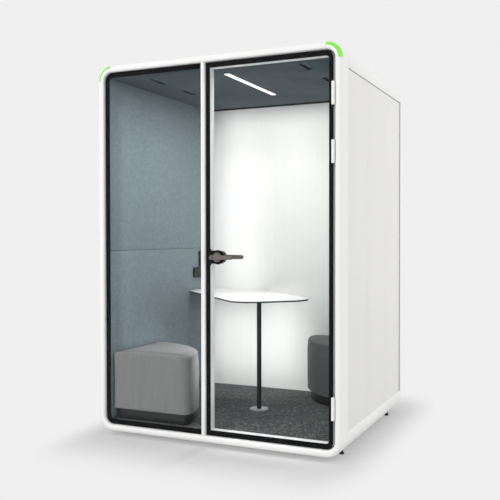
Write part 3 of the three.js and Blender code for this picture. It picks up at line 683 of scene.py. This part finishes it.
def edgeRail(name, side, upper):
    edgeX, edgeZ = side * outline["half"], outline["top"] if upper else outline["bottom"]
    innerX, innerZ = edgeX - side * rail["leg"], edgeZ - (rail["leg"] if upper else -rail["leg"])
    low = (min(edgeX, innerX), rail["start"], min(edgeZ, innerZ))
    high = (max(edgeX, innerX), rail["end"], max(edgeZ, innerZ))
    piece = addBlock(name, low, high)
    pick(piece, "EDGE", lambda spot, way: (
        abs(way.y) > mostly and abs(spot.x - edgeX) < around and abs(spot.z - edgeZ) < around))
    roundOff(outline["radius"], cornerSteps)
    pick(piece, "FACE", lambda spot, way: (
        abs(way.y) > mostly
        or way.x * side < -mostly
        or (way.z < -mostly if upper else way.z > mostly)))
    bpy.ops.mesh.delete(type="FACE")
    applyModifier(piece, "SOLIDIFY", thickness=rail["wall"] * mm, offset=-1)
    easeEdges(piece, *rail["edge"])
    return piece


def boreRail(piece, side):
    for footT in rail["footT"]:
        spot = (side * rail["footX"], footT, rail["boreMiddle"])
        drill = addBar("drill", spot, rail["bore"], rail["boreLong"], "Z", rail["boreSides"])
        applyModifier(piece, "BOOLEAN", object=drill, operation="DIFFERENCE", solver="EXACT")
        bpy.data.objects.remove(drill)


for sideName, side in (("left", -1), ("right", 1)):
    for level, upper in (("top", True), ("bottom", False)):
        piece = edgeRail("rail" + level.capitalize() + sideName.capitalize(), side, upper)
        if not upper:
            boreRail(piece, side)
        settle(piece, "shell", "white_frame", "rail_" + level + "_" + sideName)
print("rails done")

# Side boards, three to a side
boards = {
    "inner": 741, "outer": 791, "start": 116, "end": 1322, "bottom": 155.3, "top": 2165,
    "joint": 0.2, "edge": (2.2, 3), "gap": (1322.5, 1334.5), "gapDrop": 1.5, "gapEdge": 0.5,
}


def sideBoards(name, side):
    pitch = (boards["end"] - boards["start"]) / 3
    xs = sorted((side * boards["inner"], side * boards["outer"]))
    first = addBlock(
        name,
        (xs[0], boards["start"], boards["bottom"]),
        (xs[1], boards["start"] + pitch - boards["joint"], boards["top"]),
    )
    pick(first, "EDGE", lambda spot, way: abs(spot.x - side * boards["outer"]) < touch)
    roundOff(*boards["edge"])
    bpy.ops.object.mode_set(mode="OBJECT")
    others = [copyPiece(first, name + str(i), (0, i * pitch, 0)) for i in (1, 2)]
    return joinPieces(name, first, *others)


# Black strip in the gap between the boards and the rear frame: painted shade for the dark line of that
# gap
def gapShadeStrip(name, side):
    outer = boards["outer"] - boards["gapDrop"]
    xs = sorted((side * boards["inner"], side * outer))
    piece = addBlock(
        name,
        (xs[0], boards["gap"][0], boards["bottom"]),
        (xs[1], boards["gap"][1], boards["top"]),
    )
    easeEdges(piece, boards["gapEdge"])
    return piece


for sideName, side in (("left", -1), ("right", 1)):
    piece = sideBoards("sideBoards" + sideName.capitalize(), side)
    settle(piece, "shell", "white_board", "side_panel_" + sideName)
    settle(gapShadeStrip("gapShadeStrip" + sideName.capitalize(), side), "shell", "black_rubber")

# Flat linings and panels, taken from their parts with eased edges
linings = {
    "roofPanel": ("roof_panel", "white_board", 1.2),
    "baseDeck": ("base_deck", "base_board", 1.0),
    "backPanel": ("back_panel", "white_board", 2.0),
    "feltLeftLower": ("felt_left_lower", "slate_felt", 2.5),
    "feltLeftUpper": ("felt_left_upper", "slate_felt", 2.5),
    "feltRightLower": ("felt_right_lower", "slate_felt", 2.5),
    "feltRightUpper": ("felt_right_upper", "slate_felt", 2.5),
    "ceilingPanel": ("ceiling_panel", "dark_felt", 1.2),
    "carpetFloor": ("carpet", "carpet", 1.5),
    "lampHousing": ("lamp_housing", "satin_steel", 0.6),
    "lampCover": ("lamp_diffuser", "opal_cover", 1.5),
    "ventLeft": ("vent_grille_left", "black_plastic", 0.6),
    "ventRight": ("vent_grille_right", "black_plastic", 0.6),
    "fanHousing": ("fan_housing", "black_plastic", 0.8),
    "controlPanel": ("control_panel", "black_plastic", 1.6),
    "outletBox": ("outlet_box", "black_plastic", 2.0),
}
for name, (nodeName, slot, width) in linings.items():
    easedCopy(name, nodeName, "shell", slot, width)

# Black strip where the ceiling meets the back wall: painted shade for the shadow gap at the top of the
# wall
shadeLine = {"half": 724, "start": 1348, "end": 1354.8, "bottom": 2214, "top": 2229, "ease": 0.8}
piece = addBlock(
    "ceilingShadeStrip",
    (-shadeLine["half"], shadeLine["start"], shadeLine["bottom"]),
    (shadeLine["half"], shadeLine["end"], shadeLine["top"]),
)
easeEdges(piece, shadeLine["ease"])
settle(piece, "shell", "black_plastic")
print("linings done")

# Front glazing stays as packed, with its finishes
dress("fixed_glass", "clear_glass")
dress("door_glass", "clear_glass")
dress("fixed_border", "black_border")
dress("door_border", "black_border")

# Mullion with its door flange and the pocket for the bolt
mullion = {
    "left": -68, "right": -45, "flange": 23, "front": 2, "line": 71, "back": 85,
    "bottom": 67.3, "top": 2257.7,
    "noseLeft": (4, 5), "noseRight": (14, 8),
    "pocketT": (31, 47), "pocketZ": (1111, 1127), "pocketDeep": 15,
}
piece = addBlock(
    "mullion",
    (mullion["left"], mullion["front"], mullion["bottom"]),
    (mullion["right"], mullion["back"], mullion["top"]),
)
cutAt(piece, (0, mullion["line"], 0), (0, 1, 0))
pick(piece, "FACE", lambda spot, way: way.x > mostly and spot.y > mullion["line"])
pushOut(mullion["flange"], 0, 0)
for t in mullion["pocketT"]:
    cutAt(piece, (0, t, 0), (0, 1, 0))
for z in mullion["pocketZ"]:
    cutAt(piece, (0, 0, z), (0, 0, 1))
pick(piece, "FACE", lambda spot, way: (
    way.x > mostly
    and mullion["pocketT"][0] < spot.y < mullion["pocketT"][1]
    and mullion["pocketZ"][0] < spot.z < mullion["pocketZ"][1]))
pushOut(-mullion["pocketDeep"], 0, 0)
for x, shape in ((mullion["left"], mullion["noseLeft"]), (mullion["right"], mullion["noseRight"])):
    pick(piece, "EDGE", lambda spot, way: (
        abs(way.z) > mostly
        and abs(spot.y - mullion["front"]) < touch
        and abs(spot.x - x) < touch))
    roundOff(*shape)
settle(piece, "shell", "white_frame", "mullion")

# Door leaf
doorLeaf = {
    "doorStileFree": ("door_stile_free", "white_frame", 1.0),
    "doorStileHinge": ("door_stile_hinge", "white_frame", 1.0),
    "doorRailTop": ("door_rail_top", "white_frame", 1.0),
    "doorRailBottom": ("door_rail_bottom", "white_frame", 1.0),
    "doorSeal": ("door_seal", "black_rubber", 1.2),
    "lockCase": ("lock_case", "black_plastic", 1.5),
}
for name, (nodeName, slot, width) in doorLeaf.items():
    easedCopy(name, nodeName, "door", slot, width)

# Hinges: two outer knuckles on the frame leaf, one on the door leaf
hinge = {
    "x": 746, "t": -4, "radius": 9.5, "pin": 4, "bore": 4.5, "length": 126, "pinShort": 1,
    "centres": (2015, 1700, 301), "plate": 3, "plateBack": 45, "frameX": 749.7, "doorX": 742.3,
    "clear": 12.5, "doorStart": 6, "gap": 0.3, "edge": (1.2, 3), "edgeFrom": 2, "plateEdge": (0.4, 2),
    "sides": 40, "pinSides": 24,
}


def hingeKnuckle(name, bottom, top, bored):
    middle = (bottom + top) / 2
    spot = (hinge["x"], hinge["t"], middle)
    piece = addBar(name, spot, hinge["radius"], top - bottom, "Z", hinge["sides"])
    if bored:
        pick(piece, "FACE", lambda spot, way: abs(way.z) > mostly)
        bpy.ops.mesh.inset(thickness=(hinge["radius"] - hinge["bore"]) * mm)
        bpy.ops.mesh.bridge_edge_loops()
    pick(piece, "EDGE", lambda spot, way: abs(way.z) < hardly and math.hypot(
        spot.x - hinge["x"], spot.y - hinge["t"]) > hinge["bore"] + hinge["edgeFrom"])
    roundOff(*hinge["edge"])
    bpy.ops.object.mode_set(mode="OBJECT")
    return piece


def hingePlate(name, x, start, bottom, top):
    piece = addBlock(name, (x, start, bottom), (x + hinge["plate"], hinge["plateBack"], top))
    pick(piece, "EDGE", anywhere)
    roundOff(*hinge["plateEdge"])
    bpy.ops.object.mode_set(mode="OBJECT")
    return piece


centre = hinge["centres"][0]
low, high = centre - hinge["length"] / 2, centre + hinge["length"] / 2
third = hinge["length"] / 3
middle = (low + third + hinge["gap"], high - third - hinge["gap"])
pinLong = hinge["length"] - hinge["pinShort"]
pinSpot = (hinge["x"], hinge["t"], centre)
pinBar = addBar("hingePin", pinSpot, hinge["pin"], pinLong, "Z", hinge["pinSides"])
frameLeaf = joinPieces(
    "hingeFrameLeaf1",
    hingeKnuckle("lowerKnuckle", low, low + third, False),
    hingeKnuckle("upperKnuckle", high - third, high, False),
    pinBar,
    hingePlate("lowerPlate", hinge["frameX"], hinge["t"], low, low + third),
    hingePlate("upperPlate", hinge["frameX"], hinge["t"], high - third, high),
    hingePlate("backPlate", hinge["frameX"], hinge["t"] + hinge["clear"], low, high),
)
doorLeafPiece = joinPieces(
    "hingeDoorLeaf1",
    hingeKnuckle("middleKnuckle", *middle, True),
    hingePlate("middlePlate", hinge["doorX"], hinge["t"] + hinge["doorStart"], *middle),
    hingePlate("doorPlate", hinge["doorX"], hinge["t"] + hinge["clear"], low, high),
)
for number, level in enumerate(hinge["centres"], 1):
    onFrame, onDoor = frameLeaf, doorLeafPiece
    if number > 1:
        rise = (0, 0, level - centre)
        onFrame = copyPiece(frameLeaf, "hingeFrameLeaf" + str(number), rise)
        onDoor = copyPiece(doorLeafPiece, "hingeDoorLeaf" + str(number), rise)
    settle(onFrame, "shell", "white_frame", "hinge_frame_leaf_" + str(number))
    settle(onDoor, "door", "white_frame", "hinge_door_leaf_" + str(number))
print("front and door done")

# Lever handle: heel and arm from one block, with its neck and spindle
lever = {
    "x": 36, "z": 1119, "heel": 24, "tip": 158, "tall": 27, "tipTall": 24,
    "out": (-52, -36), "in": (98, 114), "tipSteps": 8, "heelSteps": 10, "flat": 0.1,
    "neck": 12, "neckBite": 2, "outNeck": 10, "inNeck": 63, "spindle": 5, "spindleSpan": (8, 96),
    "edge": (4, 4), "backEdge": (2, 3), "sides": 40,
    "dimpleShade": 5.5, "dimpleShadeDeep": 3, "dimpleShadeProud": 0.2, "dimpleShadeEdge": 0.5,
}


def leverArm(name, span, outward):
    half = lever["tall"] / 2
    piece = addBlock(
        name,
        (lever["x"] - lever["heel"], span[0], lever["z"] - half),
        (lever["tip"], span[1], lever["z"] + half),
    )
    pick(piece, "VERT", lambda spot, way: spot.x > lever["tip"] - around)
    bpy.ops.transform.resize(
        value=(1, 1, lever["tipTall"] / lever["tall"]),
        center_override=place(lever["tip"], span[0], lever["z"]),
    )
    pick(piece, "EDGE", lambda spot, way: abs(way.y) > mostly and spot.x > lever["tip"] - around)
    roundOff(lever["tipTall"] / 2 - lever["flat"], lever["tipSteps"])
    pick(piece, "EDGE", lambda spot, way: abs(way.y) > mostly and spot.x < lever["x"])
    roundOff(half - lever["flat"], lever["heelSteps"])
    shown = span[0] if outward else span[1]
    for t, shape in ((shown, lever["edge"]), (sum(span) - shown, lever["backEdge"])):
        pick(piece, "EDGE", lambda spot, way: abs(spot.y - t) < hair)
        roundOff(*shape)
    bpy.ops.object.mode_set(mode="OBJECT")
    return piece


def leverNeck(name, start, end, radius):
    middle = (start + end) / 2
    spot = (lever["x"], middle, lever["z"])
    return addBar(name, spot, radius, end - start, "Y", lever["sides"])


outer = joinPieces(
    "leverOuter",
    leverArm("outerArm", lever["out"], True),
    leverNeck("outerNeck", lever["out"][1] - lever["neckBite"], lever["outNeck"], lever["neck"]),
    leverNeck("spindle", *lever["spindleSpan"], lever["spindle"]),
)
settle(outer, "lever", "bronze_metal", "lever_outer")
# A black disc on the lever's face at its axis: painted shade for a small dimple there
dimpleShadeFace = lever["out"][0] - lever["dimpleShadeProud"]
piece = leverNeck("leverDimpleShade", dimpleShadeFace, dimpleShadeFace + lever["dimpleShadeDeep"], lever["dimpleShade"])
easeEdges(piece, lever["dimpleShadeEdge"])
settle(piece, "lever", "black_plastic")
inner = joinPieces(
    "leverInner",
    leverArm("innerArm", lever["in"], False),
    leverNeck("innerNeck", lever["inNeck"], lever["in"][0] + lever["neckBite"], lever["neck"]),
)
settle(inner, "lever", "bronze_metal", "lever_inner")

# Rose round the neck
rose = {"radius": 28, "bore": 12.6, "start": 0, "end": 7.7, "edge": (3, 4)}
piece = leverNeck("handleRose", rose["start"], rose["end"], rose["radius"])
pick(piece, "FACE", lambda spot, way: abs(way.y) > mostly)
bpy.ops.mesh.inset(thickness=(rose["radius"] - rose["bore"]) * mm)
bpy.ops.mesh.bridge_edge_loops()
pick(piece, "EDGE", lambda spot, way: (
    abs(spot.y - rose["start"]) < hair
    and math.hypot(spot.x - lever["x"], spot.z - lever["z"]) > rose["radius"] - around))
roundOff(*rose["edge"])
settle(piece, "door", "bronze_metal", "handle_rose")

boltEdge = (0.6, 2)
easedCopy("latchBolt", "latch_bolt", "latch", "satin_steel", *boltEdge)
print("handle done")

# Table: a board with a rounded end, turned to the diagonal and trimmed at the walls
table = {
    "x": 21, "t": 644, "middle": 495, "half": 272, "end": 186, "corner": (160, 20), "run": 1700,
    "bottom": 823, "top": 836, "left": -724.5, "rear": 1352.5, "topEdge": (2, 3), "lowEdge": (3, 3),
}
piece = addBlock(
    "tableTop",
    (table["middle"] - table["half"], table["end"], table["bottom"]),
    (table["middle"] + table["half"], table["run"], table["top"]),
)
pick(piece, "EDGE", lambda spot, way: abs(way.z) > mostly and spot.y < table["end"] + around)
roundOff(*table["corner"])
pick(piece, "VERT", anywhere)
turnPoint = place(0, 0, table["top"])
bpy.ops.transform.rotate(value=-math.pi / 4, orient_axis="Z", center_override=turnPoint)
cutAt(piece, (table["left"], 0, 0), (1, 0, 0), clear_inner=True, use_fill=True)
cutAt(piece, (0, table["rear"], 0), (0, 1, 0), clear_outer=True, use_fill=True)
pick(piece, "VERT", anywhere)
bpy.ops.mesh.dissolve_limited(angle_limit=flatAngle)
for level, shape in ((table["top"], table["topEdge"]), (table["bottom"], table["lowEdge"])):
    pick(piece, "EDGE", lambda spot, way: abs(spot.z - level) < hair)
    roundOff(*shape)
settle(piece, "shell", "white_laminate", "table_top")

column = {"radius": 15, "bottom": 103.6, "top": 822.7, "plate": 42, "plateThick": 5, "sides": 48}
plateLow = column["top"] - column["plateThick"]
piece = addBar(
    "tableColumn", (table["x"], table["t"], (column["bottom"] + plateLow) / 2),
    column["radius"], plateLow - column["bottom"], "Z", column["sides"],
)
pick(piece, "FACE", lambda spot, way: way.z > mostly)
pushOut(0, 0, column["plateThick"])
pick(piece, "FACE", lambda spot, way: abs(way.z) < hardly and spot.z > plateLow)
fatten(column["plate"] - column["radius"])
settle(piece, "shell", "dark_metal", "table_column")

flange = {"radius": 62, "bottom": 95.3, "top": 103.3, "edge": (3, 4), "sides": 64}
piece = addBar(
    "tableFlange", (table["x"], table["t"], (flange["bottom"] + flange["top"]) / 2),
    flange["radius"], flange["top"] - flange["bottom"], "Z", flange["sides"],
)
pick(piece, "EDGE", lambda spot, way: spot.z > flange["top"] - hair)
roundOff(*flange["edge"])
settle(piece, "shell", "satin_steel", "table_flange")
print("table done")

# Stools: padded body filled by cloth pressure, on a recessed plinth
stool = {
    "voxel": 0.006, "start": -2.0, "relax": (4, 2), "pressure": 4.0, "quality": 4, "frames": 20,
    "bottom": 158, "held": 8, "topCap": 5.0, "sideCap": 2.6,
    "seamZ": 499, "seamWide": 5.0, "seamDeep": 1.2, "seamFlat": 0.95, "plinthEdge": (1.5, 2),
}


def fillCushion(piece):
    activate(piece, "EDIT")
    bpy.ops.mesh.select_all(action="SELECT")
    bpy.ops.transform.shrink_fatten(value=stool["start"] * mm)
    activate(piece)
    applyModifier(piece, "REMESH", mode="VOXEL", voxel_size=stool["voxel"])
    applyModifier(piece, "SMOOTH", factor=0.5, iterations=stool["relax"][0])
    rest = [vertex.co.copy() for vertex in piece.data.vertices]
    normals = [vertex.normal.copy() for vertex in piece.data.vertices]
    held = piece.vertex_groups.new(name="held")
    heldTop = stool["bottom"] + stool["held"]
    held.add([i for i, spot in enumerate(rest) if spot.z / mm < heldTop], 1.0, "REPLACE")
    cloth = piece.modifiers.new("cloth", "CLOTH")
    cloth.settings.quality = stool["quality"]
    cloth.settings.use_pressure = True
    cloth.settings.uniform_pressure_force = stool["pressure"]
    cloth.settings.effector_weights.gravity = 0
    cloth.settings.vertex_group_mass = "held"
    cloth.point_cache.frame_start = 1
    cloth.point_cache.frame_end = stool["frames"]
    for number in range(1, stool["frames"] + 1):
        scene.frame_set(number)
    bpy.ops.object.modifier_apply(modifier=cloth.name)
    scene.frame_set(1)
    for vertex, start, normal in zip(piece.data.vertices, rest, normals):
        cap = stool["sideCap"] + (stool["topCap"] - stool["sideCap"]) * max(normal.z, 0)
        move = vertex.co - start
        if move.length > cap * mm:
            vertex.co = start + move * (cap * mm / move.length)
    piece.vertex_groups.clear()
    applyModifier(piece, "SMOOTH", factor=0.5, iterations=stool["relax"][1])


def sewSeam(piece):
    for vertex in piece.data.vertices:
        away = (vertex.co.z / mm - stool["seamZ"]) / stool["seamWide"]
        if abs(away) < 1 and abs(vertex.normal.z) < stool["seamFlat"]:
            dip = stool["seamDeep"] * (1 - away * away) ** 2
            vertex.co -= vertex.normal * dip * mm


cushion = copyNode("stoolFrontCushion", "stool_front_cushion")
fillCushion(cushion)
sewSeam(cushion)
rearCushion = copyPiece(cushion, "stoolRearCushion")
settle(cushion, "stool_front", "grey_fabric", "stool_front_cushion", angle=180)

# The rear stool is the front one turned half round
frontLow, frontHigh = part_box("stool_front_cushion")
rearLow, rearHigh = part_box("stool_rear_cushion")
turnAbout = (frontLow + frontHigh) / 2
halfTurn = Matrix.Translation((rearLow + rearHigh) / 2) @ Matrix.Rotation(math.pi, 4, "Z")
rearCushion.data.transform(halfTurn @ Matrix.Translation(-turnAbout))
settle(rearCushion, "stool_rear", "dark_fabric", "stool_rear_cushion", angle=180)

for end in ("front", "rear"):
    nodeName = "stool_" + end + "_plinth"
    name = "stool" + end.capitalize() + "Plinth"
    easedCopy(name, nodeName, "stool_" + end, "black_plastic", *stool["plinthEdge"])
print("stools done")

# Control key, fan rotor and levelling feet
smallParts = {
    "controlKey": ("control_key", "key", "dark_metal", 1.5, 3),
    "fanRotor": ("fan_rotor", "fan", "black_plastic", 0.5, 2),
}
for name, settings in smallParts.items():
    easedCopy(name, *settings)

foot = {
    "x": 730, "depths": {"front": 205, "rear": 1220},
    "pad": 13, "thick": 12, "stem": 6, "top": 54, "topEdge": (4, 4), "lowEdge": (1, 2), "sides": 40,
}


def levellingFoot(name, x, t):
    spot = (x, t, foot["thick"] / 2)
    piece = addBar(name, spot, foot["pad"], foot["thick"], "Z", foot["sides"])
    pick(piece, "EDGE", lambda spot, way: abs(way.z) < hardly and spot.z > foot["thick"] - hair)
    roundOff(*foot["topEdge"])
    pick(piece, "EDGE", lambda spot, way: abs(way.z) < hardly and spot.z < hair)
    roundOff(*foot["lowEdge"])
    pick(piece, "FACE", lambda spot, way: way.z > mostly)
    bpy.ops.mesh.inset(thickness=(foot["pad"] - foot["topEdge"][0] - foot["stem"]) * mm)
    pushOut(0, 0, foot["top"] - foot["thick"])
    return piece


for end, t in foot["depths"].items():
    for sideName, side in (("left", -1), ("right", 1)):
        name = "foot" + end.capitalize() + sideName.capitalize()
        nodeName = "foot_" + end + "_" + sideName
        settle(levellingFoot(name, side * foot["x"], t), nodeName, "black_rubber", nodeName)
print("small parts done")

# Floor: keeps the shadow close to the pod, partly lightened with painted light, and fades to the plain
# backdrop
backdrop = {
    "colour": (0.871, 0.871, 0.871), "floor": (0.58, 0.58, 0.58), "rough": 0.9, "size": 60,
    "halfX": 0.72, "halfY": 0.6, "acrossX": 2.4, "near": 0.15, "far": 0.78, "glowInShadow": 0.35,
}
startFresh()
bpy.ops.mesh.primitive_plane_add(size=backdrop["size"], location=(0, 0, 0))
floor = bpy.context.object
floor.name = "studioFloor"
ground = Finish("studioFloor")
spotX = ground.node("ShaderNodeSeparateXYZ", inputs={"Vector": ground.spot()}, output=0)
spotY = ground.node("ShaderNodeSeparateXYZ", inputs={"Vector": ground.spot()}, output=1)
overX = backdrop["acrossX"] * spotX.math("MAXIMUM", abs(spotX) - backdrop["halfX"], 0.0)
overY = spotY.math("MAXIMUM", abs(spotY) - backdrop["halfY"], 0.0)
away = (overX * overX + overY * overY) ** 0.5
# A share of the plain glow stays even beside the pod: painted light that lightens the floor's shadow
# there
fadeInputs = {
    "Value": away, "To Min": backdrop["glowInShadow"],
    "From Min": backdrop["near"], "From Max": backdrop["far"],
}
fade = ground.node("ShaderNodeMapRange", {"interpolation_type": "SMOOTHSTEP"}, fadeInputs)
matte = ground.surface(backdrop["floor"], backdrop["rough"], fixed={"Specular IOR Level": 0.0})
plain = ground.node("ShaderNodeEmission", inputs={"Color": shade(backdrop["colour"])})
mixed = ground.node("ShaderNodeMixShader", inputs={0: fade * ground.seen(), 1: matte, 2: plain})
floor.data.materials.append(ground.done(mixed))

# World: soft white light, seen as the plain backdrop
skyStrength = 0.8
sky = Finish("studioWorld", bpy.data.worlds.new("studioWorld"))
soft = sky.node("ShaderNodeBackground", inputs={"Color": shade((1, 1, 1)), "Strength": skyStrength})
pale = sky.node("ShaderNodeBackground", inputs={"Color": shade(backdrop["colour"])})
mixed = sky.node("ShaderNodeMixShader", inputs={0: sky.seen(), 1: soft, 2: pale})
scene.world = sky.done(mixed, "ShaderNodeOutputWorld")

# Lamps: key and fill outside, the cabin's own lamp, and soft washes inside it
lamps = {
    "keyLamp": {
        "spot": (-1.8, -6.5, 2.4), "aim": (0, 0, 1.1),
        "light": {"energy": 162, "size": 4.0},
    },
    "fillLamp": {
        "spot": (5.4, 1.6, 2.1), "aim": (0.7, 0, 1.1),
        "light": {"energy": 82, "size": 4.0},
    },
    "cabinLamp": {
        "spot": place(0, 579, 2214), "aim": place(0, 579, 0),
        "light": {
            "energy": 9.8, "shape": "RECTANGLE", "size": 0.03, "size_y": 0.74, "color": (1, 0.97, 0.92),
        },
    },
    "cabinFill": {
        "spot": place(0, 125, 1150), "aim": place(0, 1300, 1150),
        "light": {"energy": 2.3, "shape": "RECTANGLE", "size": 1.3, "size_y": 1.9},
    },
    "topWash": {
        "spot": place(0, 880, 2100), "aim": place(0, 1300, 2100),
        "light": {"energy": 0.19, "shape": "RECTANGLE", "size": 1.2, "size_y": 0.14, "spread": 0.7},
    },
    "lowWash": {
        "spot": place(-330, 880, 440), "aim": place(-330, 1300, 440),
        "light": {"energy": 1.5, "shape": "RECTANGLE", "size": 0.8, "size_y": 0.68, "spread": 1.2},
    },
    "tableWash": {
        "spot": place(-40, 720, 1500), "aim": place(-40, 720, 0),
        "light": {"energy": 0.33, "shape": "RECTANGLE", "size": 0.6, "size_y": 0.6, "spread": 0.8},
    },
    "leftWash": {
        "spot": place(-480, 880, 1480), "aim": place(-480, 1300, 1480),
        "light": {"energy": 0.72, "shape": "RECTANGLE", "size": 0.3, "size_y": 1.3, "spread": 1.2},
    },
    "stoolWash": {
        "spot": place(150, 220, 560), "aim": place(-480, 420, 360),
        "light": {"energy": 0.52, "shape": "RECTANGLE", "size": 0.3, "size_y": 0.3, "spread": 1.0},
    },
    "stileWash": {
        "spot": place(620, 28, 1190), "aim": place(-60, 28, 1190),
        "light": {"energy": 0.28, "shape": "RECTANGLE", "size": 0.03, "size_y": 1.9, "spread": 0.5},
    },
    "railWash": {
        "spot": place(320, 28, 1900), "aim": place(320, 28, 100),
        "light": {"energy": 0.16, "shape": "RECTANGLE", "size": 0.7, "size_y": 0.03, "spread": 0.2},
    },
}
for name, lamp in lamps.items():
    data = bpy.data.lights.new(name, "AREA")
    for setting, value in lamp["light"].items():
        setattr(data, setting, value)
    holder = bpy.data.objects.new(name, data)
    scene.collection.objects.link(holder)
    holder.location = lamp["spot"]
    way = Vector(lamp["aim"]) - Vector(lamp["spot"])
    holder.rotation_euler = way.to_track_quat("-Z", "Y").to_euler()
    holder.visible_camera = False
    holder.visible_glossy = False
    holder.visible_transmission = False
print("studio done")
